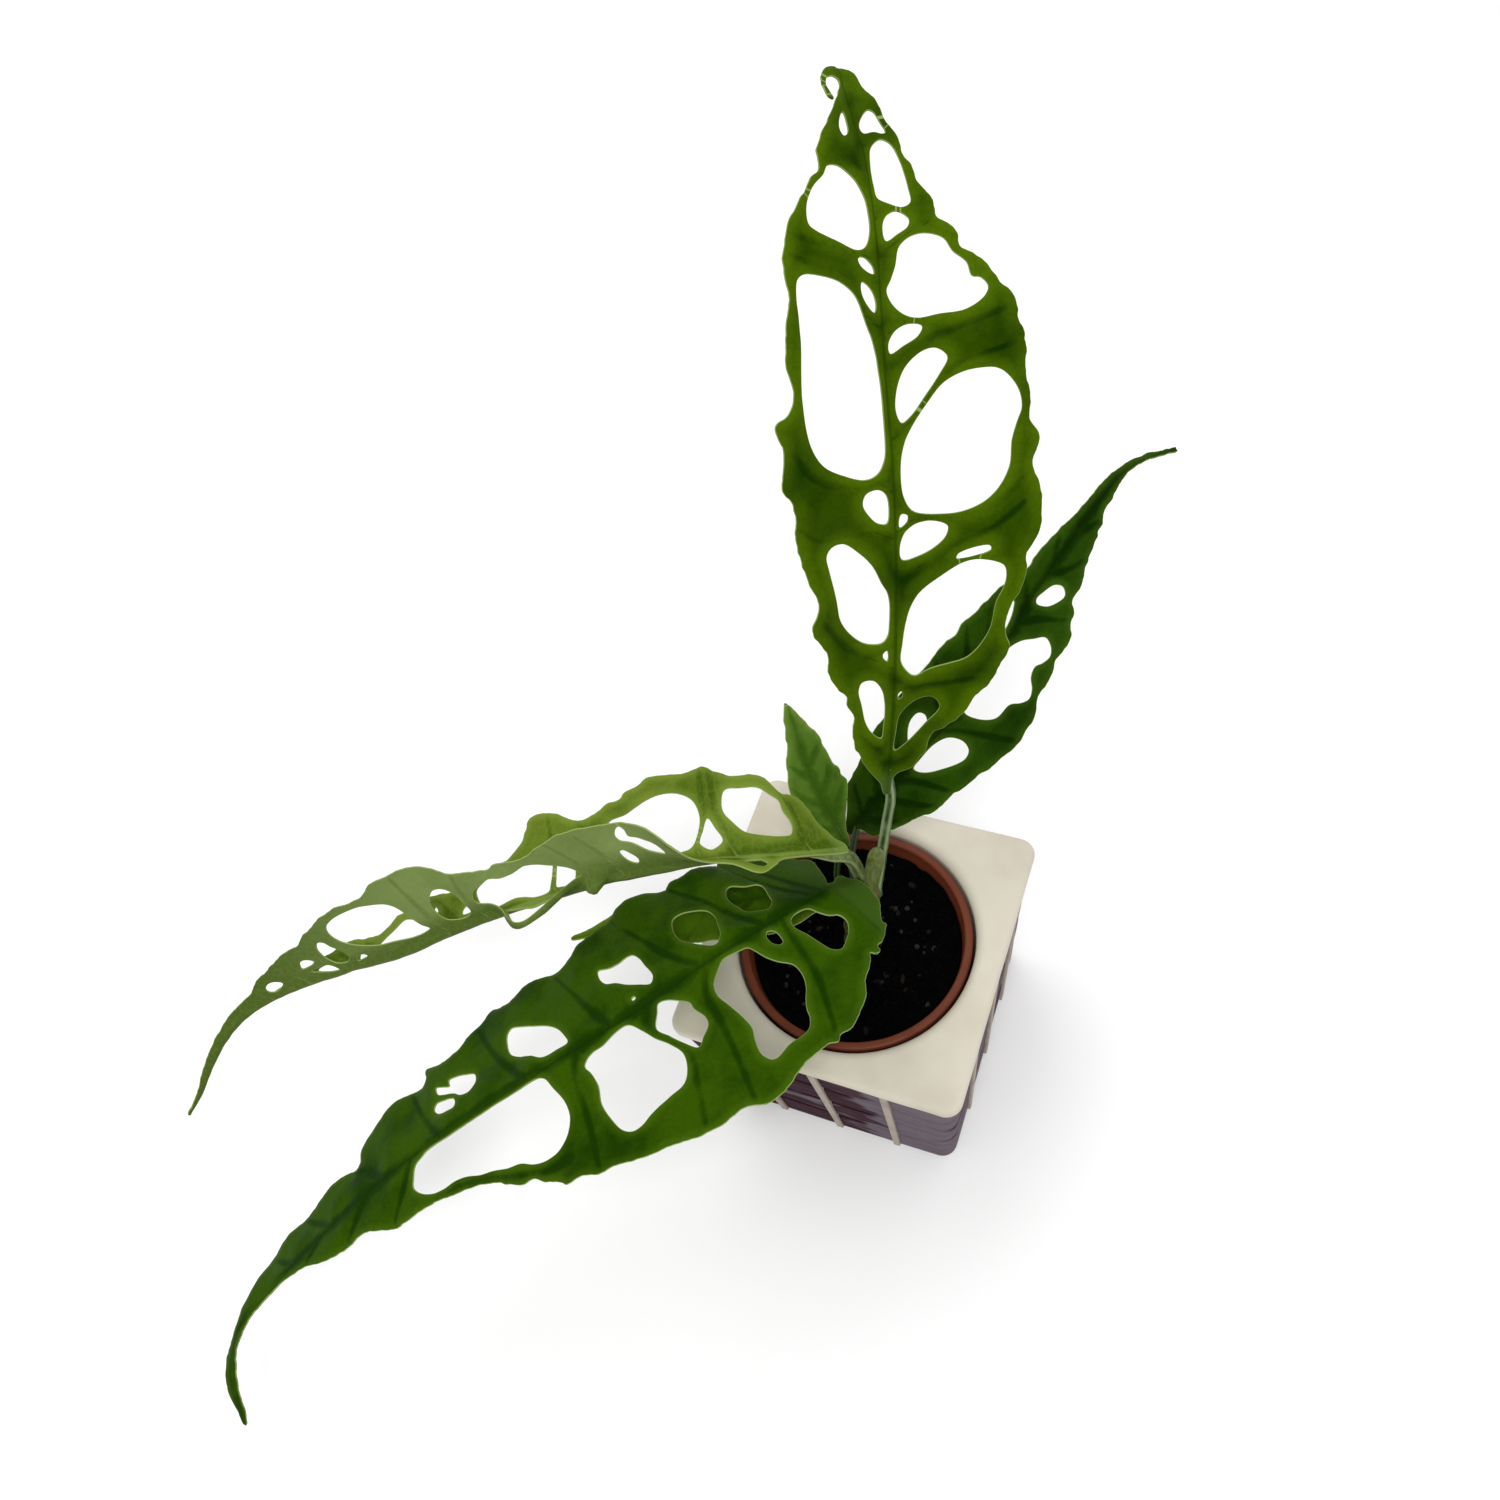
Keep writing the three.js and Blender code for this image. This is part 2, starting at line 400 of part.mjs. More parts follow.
        [82.5, -23], [80.5, -28], [78.5, -29.5], [76, -29.4], [73, -28], [68, -26.8], [64, -25.8],
        [61.6, -22], [61, -18], [62.8, -13.5], [65, -10], [67, -6],
      ],
      [
        [53, -9.5], [53, -7.5], [55, -5], [57.5, -2.6], [60, -1.8], [61.4, -4], [63.6, -7.6],
        [61.6, -11.8], [59.6, -15.6], [57, -19.4], [55, -18], [52.2, -15.5], [51.8, -13],
      ],
      [
        [32, -3], [35, -2.3], [39, -2], [42, -4], [45, -6.5], [46, -10], [45, -15], [44, -20],
        [43.7, -24], [44.8, -27], [45.6, -31], [44.5, -34], [43, -35], [38, -34], [34.5, -34],
        [32, -33], [30, -30], [29.5, -28], [28, -25], [26, -22], [24.7, -18], [25, -14.5], [28, -11.5],
        [30, -8], [31, -5],
      ],
      [
        [11, -2.2], [13, -1.3], [15.5, -1.4], [17.5, -2.6], [18, -5], [16.8, -9], [16, -13],
        [15, -17], [13.5, -18.5], [11, -17], [8, -14.5], [6, -11.5], [6.3, -9], [8.5, -7.5], [9.9, -5],
      ],
      [[22.9, -4], [23.5, -2.4], [24.8, -1.7], [25.9, -3.2], [25.9, -6], [24.5, -7.4], [23.2, -7]],
    ],
  },

  leaf_under: {
    colour: 0x3a5c14,
    petiole: [[-1.7, 4.4, 83], [-2.8, 3.6, 88], [-2.6, 1.7, 95], [-3.2, -0.7, 101]],
    petioleRadius: [1.4, 1.2],
    spine: [[-5, -2, 103], [-24, -5, 102], [-42, -12.5, 98], [-59.5, -20.5, 94], [-79.5, -28.5, 88]],
    roll: [0, 0],
    fold: [5, 5],
    wave: [0.5, 16],
    margin: [
      [-1, 1.2], [3, 3], [8, 6], [15, 8.5], [25, 9.5], [35, 9.5], [45, 8.5], [52, 7.5], [58, 6.5],
      [64, 5.5], [70, 4], [75, 2.6], [80, 1.1], [83.4, 0.4], [83.4, -0.4], [79, -0.8], [70, -1.5], [62, -3.5],
      [55, -6], [48, -9], [42, -10.7], [36, -11.2], [30, -11.5], [22, -12.5], [15, -12], [10, -10],
      [6, -7], [3, -3.7], [-1, -1.2],
    ],
    holes: [],
  },
};

const SHOOT = {
  path: [
    [3.9, 5, 93], [4.1, 5.6, 96], [5.1, 7.8, 104], [6.1, 11.4, 112], [6.5, 12.6, 115.4],
    [6.6, 12.8, 116.2],
  ],
  radii: [1.9, 2, 2.5, 2.7, 2.2, 1.1],
  sides: 12,
  rings: 10,
};

const PETIOLE = {
  tipRadius: 0.35, // where it has run out under the midrib
  runOut: 12,
  groove: 0.3, // depth, as a share of the radius
  grooveAngle: Math.PI * 1.5, // on the front of an upright stalk
  grooveWidth: 0.5, // radians
  sides: 10,
  step: 4,
};

// Solids

function solidFrom(points, triangles) {
  const mesh = new wasm.Mesh({
    numProp: 3,
    vertProperties: new Float32Array(points.flatMap((p) => [p.x, p.y, p.z])),
    triVerts: new Uint32Array(triangles.flat()),
  });
  return new wasm.Manifold(mesh);
}

function facesOut(points, triangles) {
  const cross = new THREE.Vector3();
  let volume = 0;
  for (const [a, b, c] of triangles) {
    volume += points[a].dot(cross.crossVectors(points[b], points[c]));
  }
  return volume > 0;
}

function closedSolid(points, triangles) {
  const turnedOver = triangles.map(([a, b, c]) => [a, c, b]);
  return solidFrom(points, facesOut(points, triangles) ? triangles : turnedOver);
}

// A solid through rings of equally many points, closed with a fan at each end
function loft(rings) {
  const count = rings[0].length;
  const points = rings.flat();
  const triangles = [];
  for (let r = 0; r + 1 < rings.length; r++) {
    for (let i = 0; i < count; i++) {
      const next = (i + 1) % count;
      const [a, b, c, d] = [r * count + i, r * count + next, (r + 1) * count + next, (r + 1) * count + i];
      triangles.push([a, b, c], [a, c, d]);
    }
  }
  for (const [ring, start] of [[rings[0], 0], [rings.at(-1), (rings.length - 1) * count]]) {
    const centre = ring.reduce((sum, p) => sum.add(p), new THREE.Vector3()).divideScalar(count);
    points.push(centre);
    for (let i = 0; i < count; i++) {
      const [a, b] = [start + i, start + ((i + 1) % count)];
      triangles.push(start === 0 ? [b, a, points.length - 1] : [a, b, points.length - 1]);
    }
  }
  return closedSolid(points, triangles);
}

// A turned solid from a profile of [radius, height], with z as its axis
function turned(profile, segments) {
  const lathe = new THREE.LatheGeometry(profile.map(([r, z]) => new THREE.Vector2(r, z)), segments);
  lathe.rotateX(Math.PI / 2);
  const places = new Map();
  const points = [];
  const position = lathe.getAttribute('position');
  const shared = Array.from({ length: position.count }, (_, i) => {
    const p = new THREE.Vector3().fromBufferAttribute(position, i);
    const key = [p.x, p.y, p.z].map((n) => Math.round(n * 1e4)).join(',');
    if (!places.has(key)) places.set(key, points.push(p) - 1);
    return places.get(key);
  });
  const triangles = [];
  for (let i = 0; i < lathe.index.count; i += 3) {
    const [a, b, c] = [0, 1, 2].map((k) => shared[lathe.index.getX(i + k)]);
    if (a !== b && b !== c && c !== a) triangles.push([a, b, c]);
  }
  return closedSolid(points, triangles);
}

function geometryOf(solid) {
  const { vertProperties, triVerts } = solid.getMesh();
  const geometry = new THREE.BufferGeometry();
  geometry.setAttribute('position', new THREE.BufferAttribute(vertProperties, 3));
  geometry.setIndex(new THREE.BufferAttribute(triVerts, 1));
  geometry.computeVertexNormals();
  return geometry;
}

function vectors(list) {
  return list.map(([x, y, z]) => new THREE.Vector3(x, y, z));
}

// Rings square to a path, each with its own radius, and a section given as a radius for each angle. With
// room it is larger by that much all round and at its start, to cut the socket that the tube stands in.
function tube({ path, radiusAt, sides, rings, room = 0, section = () => 1 }) {
  const stack = [];
  for (let r = 0; r <= rings; r++) {
    const t = r / rings;
    const tangent = path.getTangent(t);
    const centre = path.getPoint(t).addScaledVector(tangent, r === 0 ? -room : 0);
    const side = new THREE.Vector3(1, 0, 0).projectOnPlane(tangent).normalize();
    const up = new THREE.Vector3().crossVectors(tangent, side);
    stack.push(Array.from({ length: sides }, (_, i) => {
      const angle = (i / sides) * 2 * Math.PI;
      const reach = radiusAt(t) * section(angle) + room;
      return centre.clone()
        .addScaledVector(side, reach * Math.cos(angle))
        .addScaledVector(up, reach * Math.sin(angle));
    }));
  }
  return loft(stack);
}

function betweenRadii(radii) {
  return (t) => {
    const place = t * (radii.length - 1);
    const i = Math.min(Math.floor(place), radii.length - 2);
    return THREE.MathUtils.lerp(radii[i], radii[i + 1], place - i);
  };
}

// Planter

function roundedSquare(half, z) {
  const { cornerRadius, cornerSteps } = PLANTER;
  const corners = [[1, 1], [-1, 1], [-1, -1], [1, -1]];
  const points = [];
  corners.forEach(([sx, sy], corner) => {
    for (let i = 0; i <= cornerSteps; i++) {
      const angle = ((corner + i / cornerSteps) * Math.PI) / 2;
      points.push(new THREE.Vector3(
        sx * (half - cornerRadius) + cornerRadius * Math.cos(angle),
        sy * (half - cornerRadius) + cornerRadius * Math.sin(angle),
        z,
      ));
    }
  });
  return points;
}

function slatHalfAt(z) {
  const { height, topSide, bottomSide, slabOverhang } = PLANTER;
  return THREE.MathUtils.lerp(bottomSide, topSide, z / height) / 2 - slabOverhang;
}

function planterBody() {
  const { height, topSide, slabThickness, slabUnderside, softEdge } = PLANTER;
  const { slats, grooveDepth, grooveHeight, grooveSlope } = PLANTER;
  const slabBottom = height - slabThickness;
  const rounding = softEdge * 0.3; // where the soft edge turns over
  const rings = [
    roundedSquare(slatHalfAt(0) - softEdge, 0),
    roundedSquare(slatHalfAt(0), softEdge),
  ];
  for (let i = 1; i < slats; i++) {
    const middle = (slabBottom * i) / slats;
    const low = middle - grooveHeight / 2;
    const high = middle + grooveHeight / 2;
    rings.push(
      roundedSquare(slatHalfAt(low), low),
      roundedSquare(slatHalfAt(low) - grooveDepth, low + grooveSlope),
      roundedSquare(slatHalfAt(high) - grooveDepth, high - grooveSlope),
      roundedSquare(slatHalfAt(high), high),
    );
  }
  rings.push(
    roundedSquare(slatHalfAt(slabBottom), slabBottom),
    roundedSquare(topSide / 2, slabBottom + slabUnderside),
    roundedSquare(topSide / 2, height - softEdge),
    roundedSquare(topSide / 2 - rounding, height - rounding),
    roundedSquare(topSide / 2 - softEdge, height),
  );
  return loft(rings);
}

function planterWell() {
  const { height, floor, holeRadius, wellBottomRadius, lipRadius, lipSteps } = PLANTER;
  const lip = [];
  for (let i = 0; i <= lipSteps; i++) {
    const angle = (i / lipSteps) * (Math.PI / 2);
    lip.push([
      holeRadius + lipRadius * (1 - Math.cos(angle)),
      height - lipRadius + lipRadius * Math.sin(angle),
    ]);
  }
  return turned([
    [0, floor],
    [wellBottomRadius, floor],
    ...lip,
    [holeRadius + lipRadius, height + CUT_BEYOND],
    [0, height + CUT_BEYOND],
  ], ROUND_SEGMENTS);
}

// One upright strip on the side that faces -Y, on the slope of the slats
function batten(place) {
  const { height, slabThickness, slabUnderside, topSide } = PLANTER;
  const { battenWidth, battenDepth, battenBottom } = PLANTER;
  const top = height - slabThickness + slabUnderside * 0.7;
  const strip = (z) => {
    const face = -slatHalfAt(z);
    const x = place * topSide * (slatHalfAt(z) / slatHalfAt(height));
    return [
      new THREE.Vector3(x - battenWidth / 2, face - battenDepth * 0.5, z),
      new THREE.Vector3(x + battenWidth / 2, face - battenDepth * 0.5, z),
      new THREE.Vector3(x + battenWidth / 2, face + battenDepth, z),
      new THREE.Vector3(x - battenWidth / 2, face + battenDepth, z),
    ];
  };
  return loft([strip(battenBottom), strip(top)]);
}

function planter() {
  let solid = planterBody();
  for (let side = 0; side < 4; side++) {
    for (const place of PLANTER.battenPlaces) {
      solid = solid.add(batten(place).rotate([0, 0, side * 90]));
    }
  }
  return solid.subtract(planterWell());
}

// Nursery pot and soil

const RIM_TOP = PLANTER.height - NURSERY_POT.rimBelowTop;
const POT_BOTTOM = PLANTER.floor + CLEARANCE;

function potOuterRadiusAt(z) {
  const { rimRadius, rimStep, bottomRadius } = NURSERY_POT;
  return THREE.MathUtils.mapLinear(z, POT_BOTTOM, RIM_TOP, bottomRadius, rimRadius - rimStep);
}

function nurseryPot() {
  const { rimRadius, rimHeight, wall, softEdge, drainHoles, drainHoleRadius, drainCircle } = NURSERY_POT;
  const rimBottom = RIM_TOP - rimHeight;
  const floorTop = POT_BOTTOM + wall;
  const innerRadiusAt = (z) => potOuterRadiusAt(z) - wall;
  let solid = turned([
    [0, POT_BOTTOM],
    [potOuterRadiusAt(POT_BOTTOM), POT_BOTTOM],
    [potOuterRadiusAt(rimBottom), rimBottom],
    [rimRadius, rimBottom + softEdge],
    [rimRadius, RIM_TOP - softEdge],
    [rimRadius - softEdge, RIM_TOP],
    [innerRadiusAt(RIM_TOP) + softEdge, RIM_TOP],
    [innerRadiusAt(RIM_TOP), RIM_TOP - softEdge],
    [innerRadiusAt(floorTop), floorTop],
    [0, floorTop],
  ], ROUND_SEGMENTS);
  const cutter = turned([
    [0, -CUT_BEYOND],
    [drainHoleRadius, -CUT_BEYOND],
    [drainHoleRadius, wall + CUT_BEYOND],
    [0, wall + CUT_BEYOND],
  ], DRAIN_SEGMENTS);
  for (let i = 0; i < drainHoles; i++) {
    const angle = (i / drainHoles) * 2 * Math.PI;
    const place = [drainCircle * Math.cos(angle), drainCircle * Math.sin(angle), POT_BOTTOM];
    solid = solid.subtract(cutter.translate(place));
  }
  return solid;
}

// Height of the soil's crumbly top at a point: broad mounds with smaller ones across them
function soilTopAt(x, y) {
  const mounds = Math.sin(x * 0.31 + 1.3) * Math.cos(y * 0.27 - 0.4);
  const crumbs = 0.6 * Math.sin(x * 0.71 - y * 0.53);
  return SOIL.top + SOIL.bumps * (mounds + crumbs);
}

function soil() {
  const { top, edgeRoom, shoulder, rings, segments } = SOIL;
  const floorTop = POT_BOTTOM + NURSERY_POT.wall + CLEARANCE;
  const radiusAt = (z) => potOuterRadiusAt(z) - NURSERY_POT.wall - edgeRoom;
  const circle = (radius, heightAt) => Array.from({ length: segments }, (_, i) => {
    const angle = (i / segments) * 2 * Math.PI;
    const [x, y] = [radius * Math.cos(angle), radius * Math.sin(angle)];
    return new THREE.Vector3(x, y, heightAt(x, y));
  });
  const stack = [circle(radiusAt(floorTop), () => floorTop)];
  for (let r = rings; r >= 1; r--) {
    const share = r / rings;
    stack.push(circle(radiusAt(top - shoulder) * share, soilTopAt));
  }
  return loft(stack).subtract(stemSolid(CLEARANCE));
}

// Stem, shoot and petioles

function stalk({ path, radii, sides, rings }, room) {
  const curve = new THREE.CatmullRomCurve3(vectors(path));
  return tube({ path: curve, radiusAt: betweenRadii(radii), sides, rings, room });
}

function stemSolid(room) {
  return stalk(STEM, room);
}

function shootSolid(room) {
  return stalk(SHOOT, room);
}

// The petiole runs on under the midrib and tapers away there
function petioleSolid(leaf, room = 0) {
  const runOut = leaf.frame(PETIOLE.runOut);
  const under = (u) => {
    const { centre, normal } = leaf.frame(u);
    return centre.addScaledVector(normal, -BLADE_THICKNESS);
  };
  const path = new THREE.CatmullRomCurve3([
    ...vectors(leaf.petiole), under(0), under(PETIOLE.runOut / 2),
    runOut.centre.addScaledVector(runOut.normal, -BLADE_THICKNESS / 2),
  ]);
  const length = path.getLength();
  const taperStart = 1 - PETIOLE.runOut / length;
  const [baseRadius, topRadius] = leaf.petioleRadius;
  const radiusAt = (t) => (t < taperStart
    ? THREE.MathUtils.mapLinear(t, 0, taperStart, baseRadius, topRadius)
    : THREE.MathUtils.mapLinear(t, taperStart, 1, topRadius, PETIOLE.tipRadius));
  const { sides, step, groove, grooveAngle, grooveWidth } = PETIOLE;
  const grooved = (angle) => 1 - groove * Math.exp(-(((angle - grooveAngle) / grooveWidth) ** 2));
  const rings = Math.round(length / step);
  return tube({ path, radiusAt, sides, rings, room, section: room ? undefined : grooved });
}

// Blades

function leafFrame({ spine, roll, fold, twist }) {
  const curve = new THREE.CatmullRomCurve3(vectors(spine), false, 'catmullrom', 0.5);
  curve.arcLengthDivisions = 400;
  const length = curve.getLength();
  return (u) => {
    const inside = THREE.MathUtils.clamp(u, 0, length);
    const t = inside / length;
    const tangent = curve.getTangentAt(t);
    const centre = curve.getPointAt(t).addScaledVector(tangent, u - inside);
    const up = new THREE.Vector3(0, 0, 1).projectOnPlane(tangent).normalize();
    const right = new THREE.Vector3().crossVectors(tangent, up);
    const turned = THREE.MathUtils.smoothstep(inside, ...(twist ?? [0, length]));
    const tilt = THREE.MathUtils.degToRad(THREE.MathUtils.lerp(...roll, turned));
    return {
      centre,
      right: right.clone().multiplyScalar(Math.cos(tilt)).addScaledVector(up, Math.sin(tilt)),
      normal: up.clone().multiplyScalar(Math.cos(tilt)).addScaledVector(right, -Math.sin(tilt)),
      fold: THREE.MathUtils.degToRad(THREE.MathUtils.lerp(...fold, turned)),
    };
  };
}

function pouchDepth({ side, place, reach, halfLength, depth }, u, v) {
  const along = (u - place) / halfLength;
  if (Math.abs(along) > 1 || v * side < 0) return 0;
  const across = (v / reach) ** 2;
  return depth * Math.cos((along * Math.PI) / 2) ** 2 * across * Math.exp(1 - across);
}

// A point of the blade's middle surface
function bladePoint(leaf, u, v) {
  const { centre, right, normal, fold } = leaf.frame(u);
  const [depth, waveLength] = leaf.wave;
  const reach = Math.abs(v);
  const side = Math.sign(v);
  const ripple = Math.sin((2 * Math.PI * u) / waveLength + side);
  const wave = depth * (reach / leaf.halfWidth) ** 2 * ripple;
  const pouch = (leaf.pouches ?? []).reduce((sum, one) => sum + pouchDepth(one, u, v), 0);
  return centre
    .addScaledVector(right, v * Math.cos(fold) + side * pouch * Math.sin(fold))
    .addScaledVector(normal, reach * Math.sin(fold) - pouch * Math.cos(fold) + wave);
}

function onMidrib(v) {
  return Math.abs(v) < 0.01;
}

function bladeNormal(leaf, u, v) {
  if (onMidrib(v)) {
    const { normal, fold } = leaf.frame(u);
    return normal.divideScalar(Math.cos(fold) ** 0.5);
  }
  const step = 0.05;
  const along = bladePoint(leaf, u + step, v).sub(bladePoint(leaf, u - step, v));
  const across = bladePoint(leaf, u, v + step).sub(bladePoint(leaf, u, v - step));
  return across.cross(along).normalize();
}

function inside(point, polygon) {
  const crossings = polygon.filter((a, i) => {
    const b = polygon[(i + 1) % polygon.length];
    if ((a.y > point.y) === (b.y > point.y)) return false;
    return point.x < ((b.x - a.x) * (point.y - a.y)) / (b.y - a.y) + a.x;
  });
  return crossings.length % 2 === 1;
}

function distanceToOutline(point, polygon) {
  const edge = new THREE.Line3();
  const flat = ({ x, y }) => new THREE.Vector3(x, y, 0);
  const nearest = new THREE.Vector3();
  return Math.min(...polygon.map((a, i) => {
    edge.set(flat(a), flat(polygon[(i + 1) % polygon.length]));
    return edge.closestPointToPoint(flat(point), true, nearest).distanceTo(flat(point));
  }));
}

// Points inside a blade: three rows along the midrib, and staggered rows over the rest
function innerPoints(outline, holes) {
  const box = new THREE.Box2().setFromPoints(outline);
  const loops = [outline, ...holes];
  const free = (point, gap) => inside(point, outline)
    && !holes.some((hole) => inside(point, hole))
    && loops.every((loop) => distanceToOutline(point, loop) > gap);
  const points = [];
  const [onRib, besideRib] = RIB_POINT_MARGIN;
  for (let u = box.min.x + 1; u < box.max.x; u += RIB_POINT_SPACING) {
    for (const v of [0, RIB_HALF_WIDTH, -RIB_HALF_WIDTH]) {
      const point = new THREE.Vector2(u + Math.abs(v), v);
      if (free(point, v === 0 ? onRib : besideRib)) points.push(point);
    }
  }
  const rowHeight = POINT_SPACING * 0.87; // near-equilateral triangles
  for (let row = 1; row * rowHeight < Math.max(box.max.y, -box.min.y); row++) {
    for (const side of [1, -1]) {
      const start = box.min.x + (row % 2) * POINT_SPACING * 0.5;
      for (let u = start; u < box.max.x; u += POINT_SPACING) {
        const point = new THREE.Vector2(u, side * row * rowHeight);
        if (free(point, EDGE_MARGIN)) points.push(point);
      }
    }
  }
  return points;
}

// Twice the area of a triangle, positive if it is counterclockwise
function turn(a, b, c) {
  return (b.x - a.x) * (c.y - a.y) - (b.y - a.y) * (c.x - a.x);
}

function inCircle(a, b, c, d) {
  const rows = [a, b, c].map((p) => [p.x - d.x, p.y - d.y, (p.x - d.x) ** 2 + (p.y - d.y) ** 2]);
  return new THREE.Matrix3().set(...rows.flat()).determinant() > 1e-9;
}

// The three edges of a triangle, each as its two point numbers
function edgesOf([a, b, c]) {
  return [[a, b], [b, c], [c, a]];
}

function holds(triangle, points, point) {
  return edgesOf(triangle).every(([a, b]) => turn(points[a], points[b], point) >= 0);
}

// Whether the edge between a and b is better turned to run between c and d. An edge along the midrib is
// always kept, so that the fold is sharp.
function turnsEdge(a, b, c, d) {
  const fits = turn(a, d, c) > 1e-6 && turn(d, b, c) > 1e-6;
  const alongRib = onMidrib(a.y) && onMidrib(b.y);
  const makesRib = onMidrib(c.y) && onMidrib(d.y);
  return fits && !alongRib && (makesRib || inCircle(a, b, c, d));
}

// Goes once over the inner edges, turns those that are better turned, and says whether any was
function turnEdges(points, triangles) {
  const owners = new Map();
  triangles.forEach((triangle, index) => {
    for (const edge of edgesOf(triangle)) owners.set(edge.join(), index);
  });
  const used = new Set();
  for (const [edge, first] of owners) {
    const [a, b] = edge.split(',').map(Number);
    const second = owners.get(`${b},${a}`);
    if (second === undefined || used.has(first) || used.has(second)) continue;
    const c = triangles[first].find((p) => p !== a && p !== b);
    const d = triangles[second].find((p) => p !== a && p !== b);
    if (turnsEdge(...[a, b, c, d].map((i) => points[i]))) {
      triangles[first] = [a, d, c];
      triangles[second] = [d, b, c];
      used.add(first).add(second);
    }
  }
  return used.size > 0;
}

// Puts each inner point in its triangle, then turns inner edges until the triangles are well shaped
function triangulate(outline, holes, extra) {
  const edgePoints = [...outline, ...holes.flat()];
  const points = [...edgePoints, ...extra];
  const triangles = THREE.ShapeUtils.triangulateShape(outline, holes)
    .map(([a, b, c]) => (turn(points[a], points[b], points[c]) > 0 ? [a, b, c] : [a, c, b]));
  for (let p = edgePoints.length; p < points.length; p++) {
    const home = triangles.findIndex((triangle) => holds(triangle, points, points[p]));
    const [a, b, c] = triangles[home];
    triangles.splice(home, 1, [a, b, p], [b, c, p], [c, a, p]);
  }
  let changed = true;
  while (changed) changed = turnEdges(points, triangles);
  return { points, triangles };
}

// How far the underside stands out along the midrib
function ribDepth(leaf, u, v) {
  if (!onMidrib(v)) return 0;
  const along = THREE.MathUtils.clamp(u / leaf.length, 0, 1);
  return THREE.MathUtils.lerp(...RIB_DEPTH, along);
}

function bladeSolid(leaf) {
  const flat = (list) => list.map(([u, v]) => new THREE.Vector2(u, v));
  const outline = flat(leaf.margin);
  const holes = leaf.holes.map(flat);
  const { points, triangles } = triangulate(outline, holes, innerPoints(outline, holes));
  const half = BLADE_THICKNESS / 2;
  const face = (side) => points.map(({ x: u, y: v }) => {
    const offset = side > 0 ? half : -half - ribDepth(leaf, u, v);
    return bladePoint(leaf, u, v).addScaledVector(bladeNormal(leaf, u, v), offset);
  });
  const count = points.length;
  const edges = triangles.flatMap(edgesOf);
  const known = new Set(edges.map((edge) => edge.join()));
  const rim = edges.filter(([a, b]) => !known.has(`${b},${a}`));
  return closedSolid([...face(1), ...face(-1)], [
    ...triangles,
    ...triangles.map(([a, b, c]) => [a + count, c + count, b + count]),
    ...rim.flatMap(([a, b]) => [[a, a + count, b + count], [a, b + count, b]]),
  ]);
}

function prepareLeaf(shape) {
  const frame = leafFrame(shape);
  const length = Math.max(...shape.margin.map(([u]) => u));
  const halfWidth = Math.max(...shape.margin.map(([, v]) => Math.abs(v)));
  return { ...shape, frame, length, halfWidth };
}

// Assembly

const plant = new THREE.Group();

function addPart(name, solid, colour, roughness, metalness = 0) {
  const material = new THREE.MeshStandardMaterial({ color: colour, roughness, metalness });
  const mesh = new THREE.Mesh(geometryOf(solid), material);
  mesh.name = name;
  plant.add(mesh);
}

const leaves = Object.entries(LEAVES).map(([name, shape]) => [name, prepareLeaf(shape)]);

let stem = stemSolid().subtract(shootSolid(CLEARANCE));
for (const [, leaf] of leaves) stem = stem.subtract(petioleSolid(leaf, CLEARANCE));

addPart('planter', planter(), 0xe4dfd2, 0.55);
addPart('nursery_pot', nurseryPot(), 0x8a4a38, 0.6);
addPart('soil', soil(), 0x17120f, 0.95);
addPart('stem', stem, 0x6f7f3a, 0.5);
addPart('new_shoot', shootSolid(), 0x8a9450, 0.5);
for (const [name, leaf] of leaves) {
  addPart(name, bladeSolid(leaf).add(petioleSolid(leaf)), leaf.colour, 0.45);
}

export default plant;
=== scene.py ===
"""A potted Monstera obliqua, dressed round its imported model: fine leaves with their veins, a short stem,
crumbly soil, a round nursery pot and a square planter. Shapes are worked out in millimetres, in the
model's own frame, and become metres when their mesh is made."""

import math

import bpy
import numpy as np
from mathutils import Matrix, Vector, kdtree, noise
from mathutils.geometry import delaunay_2d_cdt


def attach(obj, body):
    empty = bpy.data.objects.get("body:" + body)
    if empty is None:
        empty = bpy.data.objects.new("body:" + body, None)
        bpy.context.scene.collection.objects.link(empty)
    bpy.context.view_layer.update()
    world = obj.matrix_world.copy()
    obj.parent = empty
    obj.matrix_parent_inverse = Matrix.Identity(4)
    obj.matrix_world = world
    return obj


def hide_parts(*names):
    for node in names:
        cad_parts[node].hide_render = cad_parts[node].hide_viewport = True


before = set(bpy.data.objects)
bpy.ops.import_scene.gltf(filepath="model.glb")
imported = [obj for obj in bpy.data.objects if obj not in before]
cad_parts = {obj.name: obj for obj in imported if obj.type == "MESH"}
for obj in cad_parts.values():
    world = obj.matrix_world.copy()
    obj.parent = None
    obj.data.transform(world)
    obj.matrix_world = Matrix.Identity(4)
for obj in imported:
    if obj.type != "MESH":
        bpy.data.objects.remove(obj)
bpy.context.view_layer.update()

MM = 0.001

# Sizes of the pots, the soil and the stem, as in the solids.

PLANTER = {
    "height": 78,
    "top_side": 90,
    "bottom_side": 80,
    "corner_radius": 5,
    "slab_thickness": 4,
    "slab_overhang": 1.2,
    "soft_edge": 1.5,
    "slats": 4,
    "groove_depth": 1.3,
    "groove_height": 2,
    "batten_width": 2.6,
    "batten_depth": 1.2,
    "batten_bottom": 2,
    "battens": 3,
    "batten_spacing": 22.5,
    "hole_radius": 36.4,
    "lip_radius": 3.2,
    "well_bottom_radius": 34,
    "floor": 6,
}

NURSERY_POT = {
    "rim_radius": 35.6,
    "rim_height": 7,
    "rim_step": 1.2,
    "wall": 1.4,
    "bottom_radius": 28,
    "bottom": 6.3,
    "rim_top": 76,
}

SOIL = {"top": 68, "bottom": 8, "radius": 31.9, "bottom_radius": 26.2, "bank": 3}

